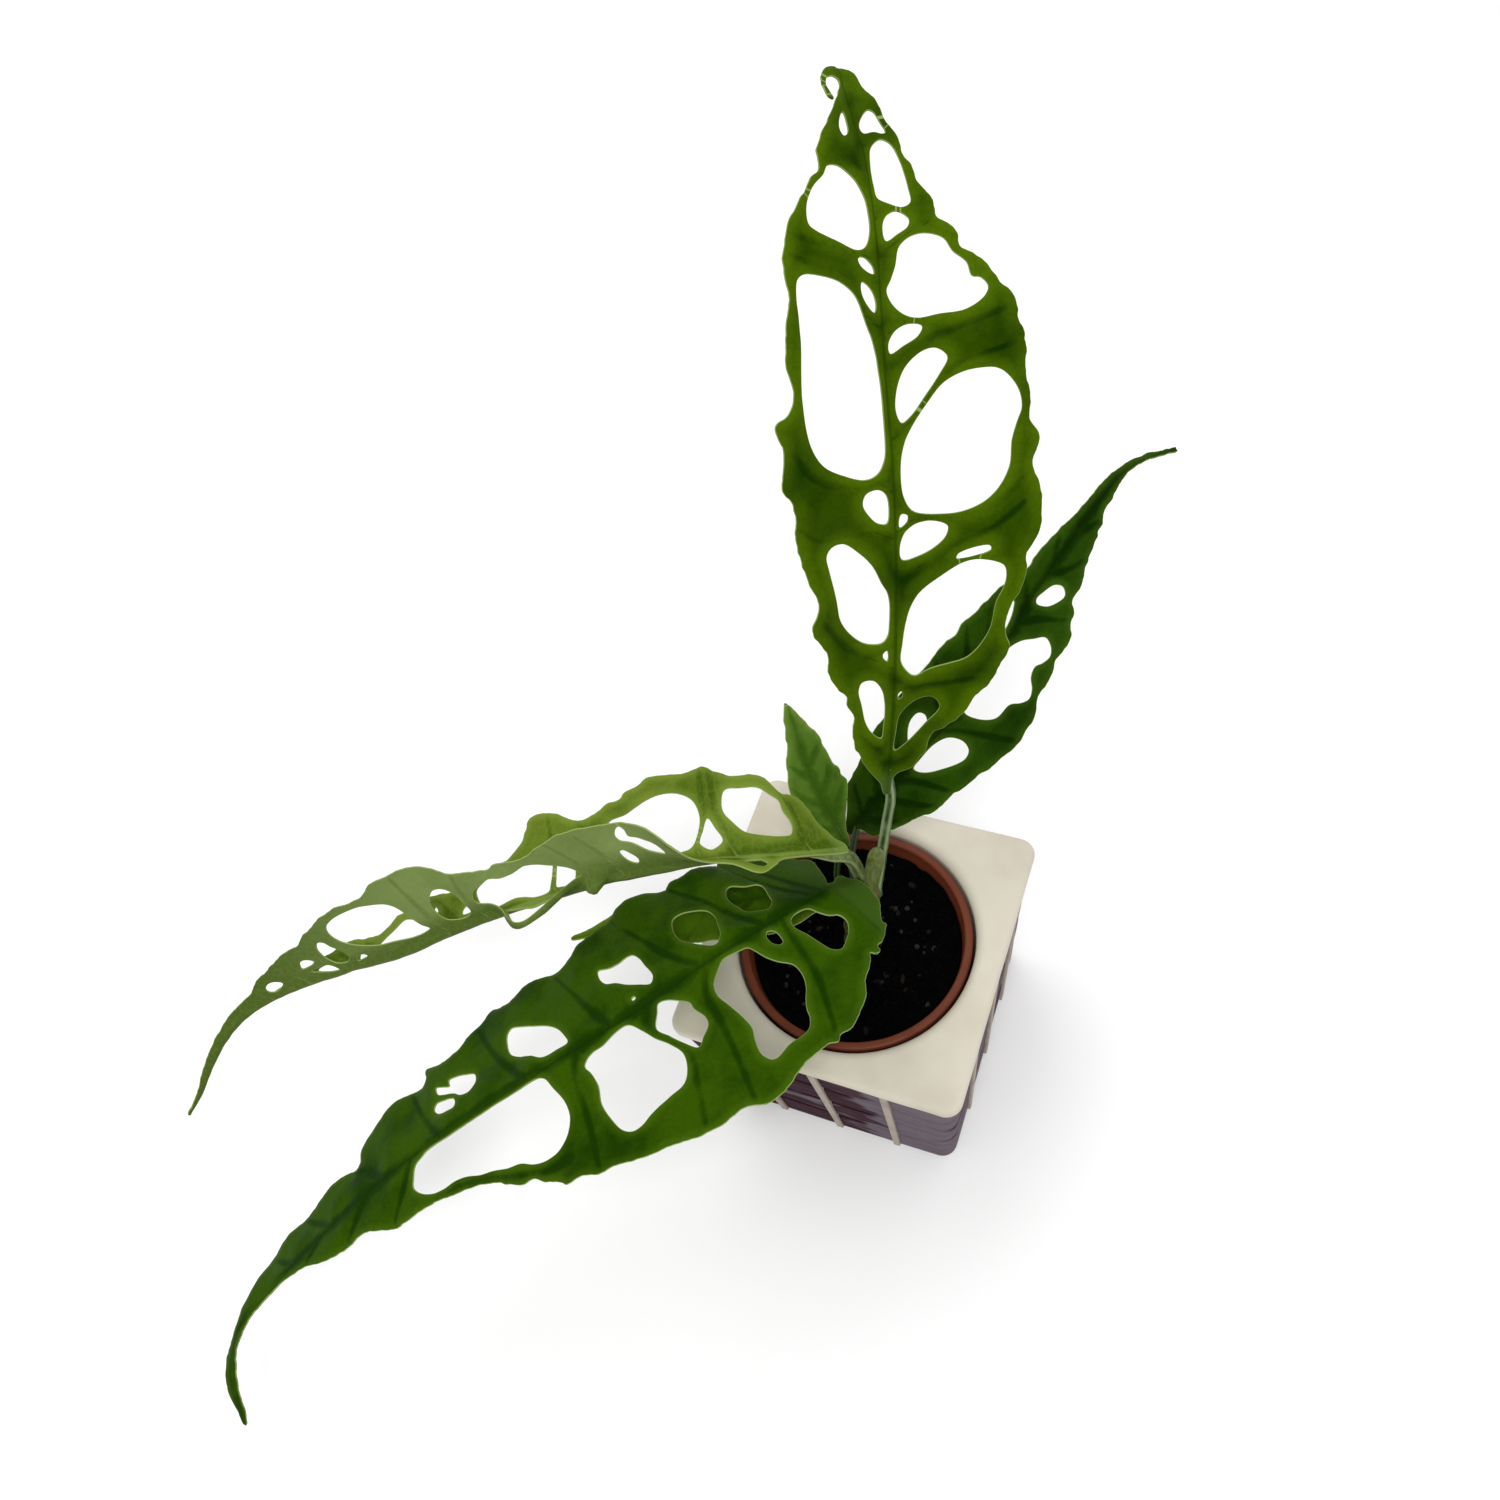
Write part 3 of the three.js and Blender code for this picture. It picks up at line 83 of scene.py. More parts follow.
STEM = {
    "path": [[0, 1, 40], [0, 1, 60], [0, 2, 72], [1, 4, 84], [2, 7, 94], [2.5, 8, 99]],
    "radii": [3.6, 3.9, 4.2, 4.4, 5.2, 3.2],
    "nodes": [70.5, 79, 88],  # heights of the rings where old leaves stood
}

SHOOT = {
    "path": [
        [3.9, 5, 93], [4.3, 6.1, 97.8], [4.9, 7.5, 102.6], [5.5, 9.3, 107.2], [6.1, 11.3, 111.8],
        [6.6, 12.8, 116.2],
    ],
    "radii": [1.2, 1.45, 1.95, 2.4, 2.5, 2.3],
}

BLADE_THICKNESS = 0.7
RIB_DEPTH = (1.3, 0.2)  # under the blade, at its start and at its tip
RIB_HALF_WIDTH = 1.6
POINT_SPACING = 0.85  # between the points of a blade
EDGE_SPACING = 0.6  # between the points along its margin and its holes
FLAT_SCALE = 300  # millimetres in one unit of a blade's UV map
FOLD_ROUNDING = 0.5  # over which the fold along a midrib is rounded

CUT_EDGE = (146, 164, 98)  # pale green where a blade is seen on edge
LEAF_GLOSS = {"IOR": 1.13, "Specular IOR Level": 0.18, "Specular Tint": (0.8, 1, 0.3, 1)}

BRIDGE_EDGE = 0.25  # the distance from the edge that a bridge too thin to have a middle is given
VEIN_GROOVE = 0.3  # how deep the veins are sunk in a blade
EDGE_CURL = 0.35  # how far its edges turn down
CRUMPLES = [(0.4, 8), (0.12, 3)]  # depths and sizes of its unevenness
BASE_SINK = 0.5  # how deep the start of a blade sinks into its petiole's groove

PETIOLE = {
    "tip_radius": 0.3,
    "run_out": 12,
    "groove": 0.36,
    "ridge": 0.16,
    "sides": 32,
    "step": 0.8,
}

# Each leaf lies along a spine, from where the blade starts to its tip. A blade is drawn flat as [u, v]:
# u runs along the midrib from the start of the blade, and v across it, positive to the right of someone
# who looks from the petiole to the tip with the upper face up. roll lifts the right half, fold lifts both
# halves from the plane across the spine, in degrees, at the base and at the end. They change between the
# two places of twist, or over the whole blade. wave is the depth and the length of the margin's waves. A
# pouch hangs out of one side, deepest at a place along the midrib and a reach from it. The margin runs up
# the right side and back.
LEAVES = {
    "leaf_upright": {
        "petiole": [
            [4.7, 10.4, 88.3], [4.5, 11.5, 91.5], [4.9, 15.1, 97], [5.5, 18.6, 106], [6.7, 21.6, 117],
            [8.2, 23.4, 129],
        ],
        "petiole_radius": [1.7, 1.4],
        "spine": [
            [8, 24, 138], [8, 35, 162], [7, 47, 190], [4, 61, 214], [-1, 76, 238], [-7, 94, 256],
            [-14, 110, 267], [-21, 121, 272], [-26, 130, 274],
        ],
        "roll": [-20, -20],
        "fold": [12, 12],
        "wave": [1.2, 24],
        "margin": [
            [-5.6, 0.6], [-2.5, 1], [0.5, 1.3], [2.6, 2.6], [5, 6], [9, 8], [12, 9.6], [17, 10.6], [20, 14],
            [25, 18.5], [30, 21], [34, 24.4], [40, 27], [45, 28.5], [50, 27], [55, 28], [60, 31], [65, 32],
            [68, 31.6], [73, 34], [78, 34.8], [83, 35], [88, 33.5], [94, 34.8], [98, 32.5], [104, 33],
            [110, 32.8], [117, 32.5], [122, 31], [128, 30], [131, 27], [135, 24.5], [137, 22], [139, 18.8],
            [142, 18.2], [144, 17], [146, 14.2], [150, 13.8], [154, 11], [157, 10.5], [160, 8.8],
            [165, 8.6], [170, 7], [175, 6.3], [179, 4.4], [183, 3.5], [185.6, 1.4], [186.2, -0.8],
            [185.4, -3], [183.4, -4.9], [180.6, -5.9], [178, -6], [176, -4.9], [175.8, -3.7], [177.4, -4.4],
            [179.8, -4.6], [182, -3.6], [183, -2.2], [182.4, -0.8], [180.4, -0.8], [178, -1.8],
            [175.4, -3.4], [173, -5], [170, -7.5], [166, -10.5], [162, -12.5], [160, -12.5], [157, -13.2],
            [155, -15.6], [152, -17.4], [148, -20.5], [145, -22.3], [139, -23.8], [134, -24.2],
            [130, -23.2], [128, -23.6], [125, -24.5], [121, -24.8], [117, -25.2], [113, -24.2],
            [110, -24.6], [108, -27], [106.5, -29.8], [104, -29.3], [101, -28], [98, -28.3], [93, -29.2],
            [90, -28.5], [87, -26.8], [82, -26.3], [76, -26], [70, -24.5], [65, -23], [61, -21],
            [57, -20.8], [53, -22], [50, -21.5], [47, -19.5], [43, -18], [38, -17.8], [33, -15.5],
            [30, -13.2], [27, -12.8], [22, -10.8], [17, -10.8], [12, -10], [9, -8.5], [6.5, -7.4], [4, -6],
            [1.4, -4.2], [-1.4, -2.2], [-5.6, -0.8],
        ],
        "holes": [
            [[9.8, 1], [13, 4], [20, 8.5], [26, 12], [28.4, 10], [27, 6], [22, 2], [15, 1]],
            [[26.2, 1.2], [27.4, 2.2], [28.8, 1.9], [27.6, 1]],
            [
                [34.4, 5], [37, 9], [39, 14], [41, 18], [44, 20.5], [50, 23.3], [56, 24.5], [60, 26.5],
                [63, 27], [65.5, 26.2], [67, 21], [66.5, 17], [63, 11], [59, 6], [55, 3.8], [50, 2.5],
                [44, 1.8], [38, 1.5], [35.5, 3],
            ],
            [[67.2, 14.8], [68.4, 15.2], [70.4, 22.6], [69.4, 23]],
            [[67.3, 1.5], [68, 5], [70, 9], [73, 12], [75.5, 12.5], [76.8, 9], [76.3, 5], [74, 2.2], [70, 1]],
            [[75.4, 1.1], [76.8, 2.8], [78.6, 2.9], [78.9, 1.6], [77.6, 1]],
            [
                [79.4, 4.6], [78.4, 12], [79, 17], [81, 22], [84, 25.5], [88, 27.8], [94, 28.3], [98, 29.5],
                [101, 30.8], [105, 30.6], [109, 28.5], [111, 26], [111.5, 22.5], [111, 18], [109, 13.5],
                [105, 9.5], [100, 5.5], [96, 3.2], [91, 2], [83, 2.3],
            ],
            [
                [100.8, 3], [102, 5], [106, 8.5], [111, 12.5], [115, 14.5], [117.3, 12], [117, 9], [114, 5],
                [110, 2.8], [104, 1.8],
            ],
            [[117, 1.5], [118.5, 4.5], [120.5, 8], [122.5, 9], [123.2, 6], [122, 3], [119.2, 1.2]],
            [
                [124.5, 8], [125, 13], [125.5, 19], [128, 23.5], [130, 24.5], [132, 23], [132.5, 21],
                [135.5, 20], [138, 17], [141, 15], [142.5, 11], [142, 7.5], [140, 5], [136, 3.8],
                [133, 2.5], [131, 1.5], [128, 2.5], [125.5, 5],
            ],
            [[141.7, 2.2], [143, 5], [144.5, 7.5], [146, 7.8], [148, 5.2], [147.3, 3], [145, 1.8]],
            [
                [148.9, 7], [149.7, 8.7], [153, 8.6], [160, 7.4], [163.4, 6.2], [164.6, 4.5], [163, 2],
                [159, 1], [154, 1], [151.4, 1.4], [150, 3.6],
            ],
            [
                [166.1, 6.3], [169, 5.7], [171.4, 5], [172.3, 3.9], [170.5, 1.8], [168.5, 0.9],
                [166.9, 1.4], [166.8, 3.7],
            ],
            [
                [14, -2.9], [16, -5.5], [20, -7.5], [26, -8.8], [31, -9.8], [33.5, -9], [33.5, -6],
                [30, -3.5], [25, -2.4], [18, -2.4],
            ],
            [[38.6, -2.1], [40.2, -1.9], [42, -2.3], [41.4, -3.2], [39.9, -3.2]],
            [
                [44.6, -3.5], [46, -2.2], [50, -1.6], [58, -2], [62, -4], [67, -6.5], [71, -10], [74, -14],
                [73.5, -17], [71.5, -18.3], [68, -17.8], [60, -16], [54, -14.8], [49, -12], [45, -7.5],
            ],
            [[77, -2.2], [79, -1.5], [84, -2], [86, -4.5], [85.5, -7.5], [83, -8.5], [80, -7], [77.5, -4.5]],
            [
                [89.2, -7.5], [90, -4], [93, -2], [100, -1.3], [110, -1.4], [118, -2.3], [125, -4.5],
                [130, -6.5], [133, -10], [134.5, -15], [134.8, -19], [133.6, -21], [130, -21.6],
                [126, -21.3], [120, -21], [114, -21.7], [110, -22.3], [105, -22.2], [100, -21], [95, -18],
                [91.5, -13],
            ],
            [[126.3, -1.7], [128, -1.1], [131, -2], [133, -4.5], [131, -4.8], [127.6, -3.2]],
            [[134.8, -1.1], [136.1, -1.3], [138.4, -3.6], [138.1, -5], [136.5, -4.5], [135.1, -2.8]],
            [
                [140.1, -5], [140.6, -3], [143, -1.7], [147, -1.3], [152, -2], [156, -4.5], [158.5, -7.5],
                [158.4, -10.3], [156, -12], [153, -15.2], [149, -17.2], [145.5, -17], [144, -15],
                [142, -10],
            ],
            [[166.2, -4.2], [167.2, -2.6], [170, -2], [172.6, -2.1], [170.8, -3.7], [167.8, -4.8]],
        ],
    },

    "leaf_right": {
        "petiole": [[-1, 8.4, 86], [-2.4, 11.4, 88.2], [-5.6, 18.4, 91.2]],
        "petiole_radius": [1.5, 1.3],
        "spine": [
            [-6, 27, 98], [1, 32, 110], [13, 45, 125], [24, 64, 137], [33, 90, 147], [41, 116, 150],
            [48, 138, 147], [59, 156, 138],
        ],
        "roll": [-30, -30],
        "fold": [10, 10],
        "wave": [0.8, 20],
        "margin": [
            [-5.6, 0.9], [-3.6, 1.1], [-1.2, 1.6], [0.2, 2.6], [1.6, 4.8], [2.8, 6.4], [4.4, 7.4], [7, 8],
            [10, 9.2], [13, 10.7], [18, 12], [21, 12.8], [24, 14.4], [32, 15], [35, 16], [39, 16.3],
            [43, 17.6], [47, 18.2], [50, 19], [54, 19.5], [57, 18.8], [60, 18.7], [63, 17.4], [66, 16],
            [70, 16.2], [74, 15.6], [77, 14.8], [80, 15.2], [84, 15], [88, 13], [91.5, 12.3], [94, 9.9],
            [98, 10], [101, 9.2], [104, 7.9], [107, 7.6], [110, 6.6], [114, 6], [117, 4.8], [120, 4.3],
            [123, 2.9], [128, 2.6], [134, 1.6], [140, 0.9], [147, 0.6], [155, 0.6], [161, 0.7],
            [165.5, 0.5], [165.5, -0.5], [161, -0.8], [155, -1.2], [147, -1.5], [138, -2.3], [128, -3],
            [119, -3.2], [114, -3.9], [110, -4.6], [105, -5.1], [101, -6], [94, -6.1], [90, -7.3],
            [86, -9.5], [80, -11.1], [75, -12.4], [72, -13.9], [68, -13.6], [64, -15], [57, -15],
            [50, -15.5], [43, -15.7], [36, -14.9], [30, -14.5], [24, -12.8], [18, -11.2], [13, -10.2],
            [8, -8.7], [3, -5.8], [-1, -3.5], [-5.6, -1.3],
        ],
        "holes": [
            [
                [28.6, 1.4], [29, 3], [31, 5.2], [35, 7.8], [39, 10], [41.4, 10.6], [43.6, 9.8], [44.4, 7],
                [42.6, 3.2], [38, 1.2], [32, 1],
            ],
            [
                [51, 2], [52, 6.5], [55, 10], [60, 10.8], [62, 13], [64, 14.2], [66.5, 13.4], [69, 11.4],
                [72, 10.8], [74, 12.1], [76.5, 12.8], [79, 11.5], [80.4, 9], [78.5, 6.5], [76, 3.6],
                [72, 1.7], [62, 1.4], [55, 1.3],
            ],
            [[87.6, 2.1], [88.4, 4.8], [91.5, 6.9], [94, 7.4], [95.9, 5.4], [95, 3.4], [91.5, 1.9],
            [88.8, 1.3]],
            [[33.4, -3.8], [36, -6.6], [40, -8.6], [43, -8.3], [43.6, -6.4], [41, -3.6], [37, -2.8]],
            [[74.4, -2.2], [78, -1.9], [82, -2.7], [84.6, -4.2], [82, -5.4], [77, -5], [74.2, -3.6]],
        ],
    },

    "leaf_small": {
        "petiole": [[-1.4, 4.6, 75], [-5, 8.1, 79], [-8.4, 12.1, 87], [-8.2, 14.7, 96]],
        "petiole_radius": [1.3, 1],
        "spine": [[-6, 17, 106], [-11, 21, 114], [-17, 26, 123], [-26, 38, 140]],
        "roll": [0, 0],
        "fold": [12, 12],
        "wave": [0.5, 12],
        "margin": [
            [-2, 1], [3, 2.2], [7, 4], [10, 5.5], [13, 7.5], [15, 8.7], [17, 9], [19, 8.4], [22, 8.4],
            [25, 7.3], [28, 7], [30, 6.3], [33, 6.1], [36, 5.2], [38, 3.8], [41, 2.5], [44, 0.9],
            [46, -0.6], [44, -1.6], [40, -2.6], [36, -3.5], [33, -3.8], [31, -4.8], [28, -5.8], [24, -6.8],
            [20, -7.8], [15, -8.6], [10, -8.2], [5, -6.4], [1, -3.6], [-2, -1],
        ],
        "holes": [],
    },

    "leaf_left": {
        "petiole": [[0.9, 9.5, 90.8], [1, 10.2, 94], [-0.2, 10.8, 103], [-0.9, 9, 113]],
        "petiole_radius": [1.6, 1.9],
        "spine": [
            [-2, 7, 122], [-13, -1, 129], [-32, -9, 131], [-52, -18, 130], [-69, -26.5, 127],
            [-87.5, -35, 120], [-106, -45, 113], [-124, -55, 105], [-146, -64, 96], [-170, -77, 85],
            [-183, -90, 75], [-189, -105, 64], [-193, -113, 58],
        ],
        "roll": [-8, -54],
        "fold": [12, 59],
        "twist": [15, 64],
        "wave": [0.6, 22],
        "pouches": [
            {"side": -1, "place": 89, "reach": 3.8, "half_length": 17, "depth": 15},
            {"side": -1, "place": 70.5, "reach": 2, "half_length": 5, "depth": 7},
        ],
        "margin": [
            [-2, 1.3], [0.8, 3.6], [2, 5.6], [3.8, 8.5], [4.6, 10.4], [5.8, 14.6], [8, 17.4], [11, 18.5],
            [16, 19], [20, 22], [23, 24], [28, 24.8], [32, 25.5], [35, 27.5], [38.5, 29.5], [41, 28.3],
            [44, 27.3], [48, 27.6], [50.5, 28], [54, 28.7], [56, 27.5], [60, 25.6], [62, 23.6], [66, 22.4],
            [69, 20.8], [73, 20.3], [77, 21.5], [80, 23.3], [83, 25.2], [88, 26], [92, 25.2], [93.2, 22.8],
            [94.6, 19.8], [97, 17.4], [100, 15.4], [105, 15.2], [108, 14], [112, 12.4], [117, 12.2],
            [121, 12.5], [125, 13.9], [129, 14.3], [133, 13.2], [137, 12.6], [141, 12.3], [145, 10.6],
            [149, 8.9], [154, 8.6], [160, 9.2], [165, 8.7], [170, 7.3], [175, 5.7], [181, 5], [186, 3.4],
            [191, 2.4], [198, 2.3], [205, 2.5], [213, 2.4], [223, 2.2], [233, 1.9], [239, 1.4], [245, 0.9],
            [249, 0.5], [249, -0.5], [245, -0.8], [239, -1.3], [232, -2.2], [222, -2.9], [212, -3.8],
            [203, -5], [197.5, -5.7], [192, -8.6], [186, -10.4], [180, -12.8], [175, -14.3], [169, -15],
            [166, -17], [162, -18.5], [158, -20.5], [155, -22], [151, -23], [147, -23.8], [143, -23.3],
            [138, -23.5], [133, -25.4], [130.5, -27.2], [128, -27.7], [124, -26.8], [119, -26.6],
            [115, -25.6], [112, -24], [110.4, -22], [109, -20.4], [105, -18.4], [100, -16.5], [97, -15.9],
            [95, -16.6], [92, -16.3], [88, -15.6], [84.6, -15.8], [82, -16.9], [79, -17.8], [76.4, -18.8],
            [73.4, -19.6], [70, -20], [65, -19.6],
            [62, -19.2], [58, -19.7], [54, -20.1], [50, -20.6], [47, -20.1], [44, -16.6], [40.5, -10.4],
            [37, -6], [33.5, -4.2], [30.5, -5], [27.8, -6.6], [25.8, -7.7], [24, -7.9], [22.4, -7],
            [21.2, -5.8], [19.8, -3.9], [18.6, -2.2], [17, -1.4], [13, -1.2], [8.8, -1.3], [5.6, -1.7],
            [2, -1.9], [-2, -1.2],
        ],
        "holes": [
            [
                [13.5, 8], [14, 10.5], [16, 13.5], [17, 16.5], [20, 18.3], [24, 20.5], [29, 21], [33, 21.2],
                [34, 17.5], [33.5, 14], [31, 10.5], [28, 7.5], [24, 6.3], [18, 5.5], [14.5, 5.8],
            ],
            [[34.2, 5.4], [36, 9.6], [38, 13], [39.5, 9.4], [40.6, 6], [39, 4], [37, 3.2]],
            [
                [40.9, 9], [40.2, 14], [42, 19], [46, 21.4], [51, 22.2], [55, 21.5], [58, 20], [61, 18.3],
                [65, 17.4], [66.6, 15.6], [66, 10], [64, 6], [60, 2.7], [57, 2.5], [52, 3.2], [46, 3.6],
                [43, 4.6],
            ],
            [
                [77.2, 6], [77.8, 2.8], [79.5, 1.8], [82, 1.9], [84.1, 2.5], [84.2, 5], [83.7, 9],
                [82.9, 13], [80, 12.5], [78, 9.5],
            ],
            [
                [85, 9], [85.9, 4], [86.5, 1.8], [88, 1.3], [92, 1.5], [95, 2.4], [98, 3], [101, 2.9],
                [104, 2.4], [108, 2.2], [109.6, 4], [111, 7.2], [111.2, 9.8], [109, 11.2], [107, 11.9],
                [103, 10.8], [99, 10.9], [96, 11.6], [92, 13], [88, 14], [84.9, 13.4],
            ],
            [[113.6, 4.2], [115, 6.3], [116.8, 4.8], [116.4, 4]],
            [[125, 8.2], [125.9, 9.9], [126.5, 9.2], [125.6, 7.6]],
            [
                [128.4, 4.4], [130.4, 3.3], [136, 4], [144, 4.8], [150, 5.2], [147, 6.8], [142, 8.9],
                [138, 10], [134, 8.7], [130.8, 6.6],
            ],
            [[152, 3], [154, 4], [156.6, 4], [157, 2.6], [154.5, 2]],
            [[163.6, 1.4], [166, 2.6], [170, 4], [174, 3.3], [171, 2], [167, 1.2]],
            [
                [48.3, -8.2], [49, -11], [50.6, -13.2], [54, -14.3], [56.6, -14.6], [57, -17], [58, -18.2],
                [59.3, -17.2], [60.3, -14.6], [59.5, -12.9], [57, -12], [55, -10.6], [52.5, -8.6], [50, -8],
            ],
            [[57, -4.2], [56.6, -5.6], [58, -8], [59.8, -9.6], [60.8, -9.2], [60.2, -6.8], [58.6, -4.6]],
            [[22, -3.4], [22.7, -5], [24.2, -4.9], [26.2, -3.6], [28, -2.1], [26.2, -1.2], [23.8, -1.5]],
            [
                [73.4, -4.8], [75, -4.5], [79, -4.7], [85, -4.8], [92, -4.8], [99, -4.9], [104, -5.2],
                [106.6, -6.4], [107.2, -8], [106.5, -10], [105, -11.3], [102, -12.2], [100, -13],
                [97, -12.2], [92, -11.7], [89, -12.5], [87, -13], [83, -12.1], [79, -10.2], [76, -8.3],
                [74.4, -6.6],
            ],
            [[81, -1.5], [83, -1.1], [90, -1.2], [97, -1.1], [99.6, -1.7], [97, -2.5], [90, -2.8],
            [84, -2.6]],
            [
                [110.6, -8], [110.6, -5], [112.4, -3.5], [116, -3.6], [118.8, -5], [119.9, -8],
                [119.5, -12], [118, -14.5], [116, -16], [113.4, -15.8], [111.3, -13.5],
            ],
            [
                [125.6, -4.6], [128, -3.9], [132, -4], [137, -5.2], [144, -6.2], [149, -7.5], [153, -9.5],
                [156, -12], [157, -15], [156, -17.8], [152, -20], [147, -20.9], [141, -21], [135, -20.5],
                [131, -19.3], [129, -17], [128, -13], [127.6, -10], [126.8, -7],
            ],
            [[150.8, -3.6], [153, -2.9], [155.4, -2.7], [154, -4.5], [152, -4.6]],
            [[163.6, -1.5], [166, -1.6], [169, -2.4], [173, -4.1], [169, -4.8], [166, -4.6], [164.5, -3.2]],
            [
                [156.8, -5.2], [159, -3.3], [162.5, -3.8], [164.4, -6.5], [165, -9.5], [164.5, -11.5],
                [163, -13], [161.3, -12.3], [160.3, -10.5], [158, -8],
            ],
            [[169, -7.5], [171, -6.4], [175, -6.3], [174, -8.5], [172, -9.1], [170, -8.4]],
            [[185.2, -4], [186.6, -2.9], [189.2, -2.1], [191.6, -3], [191.8, -4.5], [189.6, -5.8],
            [187.2, -5.5]],
        ],
    },

    "leaf_front": {
        "petiole": [[-0.1, 5.6, 91], [-0.2, 6.3, 94.5], [-0.5, 2.7, 103], [-1.8, 0, 110]],
        "petiole_radius": [1.6, 1.5],
        "spine": [
            [-3, -2, 114], [-10, -15, 121], [-23, -33, 125], [-39, -54, 124], [-57, -72, 118],
            [-77, -89, 107], [-99, -109, 93], [-117, -128, 79], [-135, -149, 62], [-146, -164, 50],
            [-148, -176, 38], [-143, -189, 26],
        ],
        "roll": [-15, -15],
        "fold": [-10, -10],
        "wave": [1, 26],
        "margin": [
            [-1.4, 2.2], [-3, 5], [-6, 11], [-7.8, 15], [-7, 18], [-5.5, 20], [-6, 23], [-4, 28], [-1, 32],
            [2, 35.6], [5, 38.2], [10, 37.5], [15, 36.3], [20, 36.2], [27, 36.8], [33, 37.3], [36, 38.8],
            [39, 38], [42, 39], [46, 41], [50, 41.5], [56, 41.2], [62, 40.8], [68, 39.8], [75, 38.5],
            [80, 37], [83, 35], [87, 34], [94, 35.2], [98, 35.8], [103, 36.3], [106, 35.8], [109, 34.3],
            [112, 33.8], [115, 34.3], [118, 35.8], [121, 35.3], [124, 33.8], [127, 31.5], [129.5, 28.2],
            [132, 27], [136, 27], [140, 28], [144.5, 29.5], [144.2, 26], [145.4, 24.3], [150, 25],
            [155, 25.3], [159, 24.5], [163, 23], [166, 21], [170, 18.5], [171.5, 16.5], [172, 13.8],
            [173.6, 12.8], [177, 13.8], [181, 14.3], [185, 14], [190, 12.8], [198, 12.5], [206, 12],
            [214, 10.7], [220, 10], [225, 8], [230, 5.5], [236, 3.5], [241, 2.3], [246, 2.3], [250, 3.3],
            [256, 3.6], [263, 3.3], [268, 2], [273, 0.6], [273, -0.6], [270, -1.2], [262, -0.9],
            [252, -0.8], [246, -1.2], [240, -1.8], [234, -1.2], [228, -0.9], [221, -0.8], [215, -0.9],
            [207, -2.2], [199, -4], [194, -6.4], [188, -8.4], [181, -9.3], [175, -9.2], [171, -10.2],
            [166, -12.5], [161, -14.8], [156, -15.9], [148, -16], [140, -16.8], [134, -18], [128, -19],
            [124, -20.5], [120, -22], [116, -24.3], [111, -26.7], [107, -27], [104, -29], [100, -30.9],
            [98, -33.1], [94, -33], [90, -34.9], [86, -35.2], [82, -36.3], [76, -37.4], [70, -38.7],
            [65, -40.6], [60, -41.3], [55, -40.4], [52, -42.3], [47, -43], [43, -42.3], [38, -41],
            [34, -40.2], [30, -39], [28, -39.8], [26, -38.3], [23, -38.2], [20, -36.2], [17, -34],
            [14.5, -30], [12, -27.5], [10.4, -25.4], [9.5, -24.3], [8.8, -25.7], [7.2, -25.2], [6.6, -24],
            [4, -23.3], [1.5, -22.2], [-0.8, -21], [-2, -20], [-3, -19.3], [-2.8, -17.8], [-3.9, -16.2],
            [-6, -14.2], [-7.5, -12.5], [-8.5, -9.8], [-9, -7.8], [-9.3, -5], [-9, -3], [-8.1, -1.2],
            [-7.6, 0.1], [-7.2, 1.3], [-6.4, 2.4], [-5, 2.5], [-3.2, 1.6],
        ],
        "holes": [
            [
                [11.5, 17], [12, 18.5], [18, 19.5], [22, 22], [24, 21.5], [26, 18], [25.5, 13], [24.5, 9],
                [22, 6.5], [19.5, 5.3], [17, 7], [15, 11],
            ],
            [
                [33, 14.5], [33.5, 18], [36, 20.5], [40, 22.8], [43, 22.5], [45, 19], [45.3, 14], [44, 11],
                [42, 7.5], [40, 5], [38, 4], [35.5, 6], [34, 10.5],
            ],
            [
                [57.5, 10], [58, 13], [58.5, 17], [60, 19.8], [66, 20.5], [70, 21.5], [73.5, 22.5],
                [73.8, 19.5], [72, 15.8], [69, 14], [66, 11], [62, 7.5], [59, 5.3], [57.5, 7],
            ],
            [[64.8, 4.2], [65, 5.2], [66, 5], [65.8, 4]],
            [
                [88, 4], [88.8, 7], [91, 11], [94, 14], [100, 17.5], [106, 20.8], [109.5, 22.3], [111, 21],
                [111, 17], [109.5, 13], [106, 10], [101, 7], [97, 4.2], [92, 3.8],
            ],
            [
                [122.5, 11.5], [123, 14], [127, 16.2], [131, 18], [133.5, 18.3], [133.4, 16.2], [136, 17.4],
                [138.8, 18.8], [137.6, 15.6], [135, 14], [131, 12], [128, 9.5], [125, 9], [123.5, 10],
            ],
            [[130, 8], [131, 10], [135, 12], [138.5, 12.8], [139.5, 11.5], [137, 8.5], [133, 6.8],
            [130.5, 6.6]],
            [
                [100, -1.2], [108, -1.3], [115, -1.2], [122, -1.2], [130, -1.1], [136, -1.1], [142, -1.1],
                [144, -1.9], [147.5, -3.5], [149, -6.5], [149.5, -8.5], [147, -11.5], [143, -13.7],
                [139, -14.5], [134, -14.5], [130, -15.2], [125, -17.2], [120, -18.5], [115, -20.2],
                [110, -21.2], [106, -23.2], [102, -24], [98, -23.5], [94.5, -21], [92.7, -17], [93, -12],
                [95, -7], [97, -3],
            ],
            [
                [70, -2], [74, -2.2], [78, -3.4], [82, -3.8], [84.7, -6], [83.5, -9], [82.8, -13],
                [83.5, -18], [82.5, -23], [80.5, -28], [78.5, -29.5], [76, -29.4], [73, -28], [68, -26.8],
                [64, -25.8], [61.6, -22], [61, -18], [62.8, -13.5], [65, -10], [67, -6],
            ],
            [
                [53, -9.5], [53, -7.5], [55, -5], [57.5, -2.6], [60, -1.8], [61.4, -4], [63.6, -7.6],
                [61.6, -11.8], [59.6, -15.6], [57, -19.4], [55, -18], [52.2, -15.5], [51.8, -13],
            ],
            [
                [32, -3], [35, -2.3], [39, -2], [42, -4], [45, -6.5], [46, -10], [45, -15], [44, -20],
                [43.7, -24], [44.8, -27], [45.6, -31], [44.5, -34], [43, -35], [38, -34], [34.5, -34],
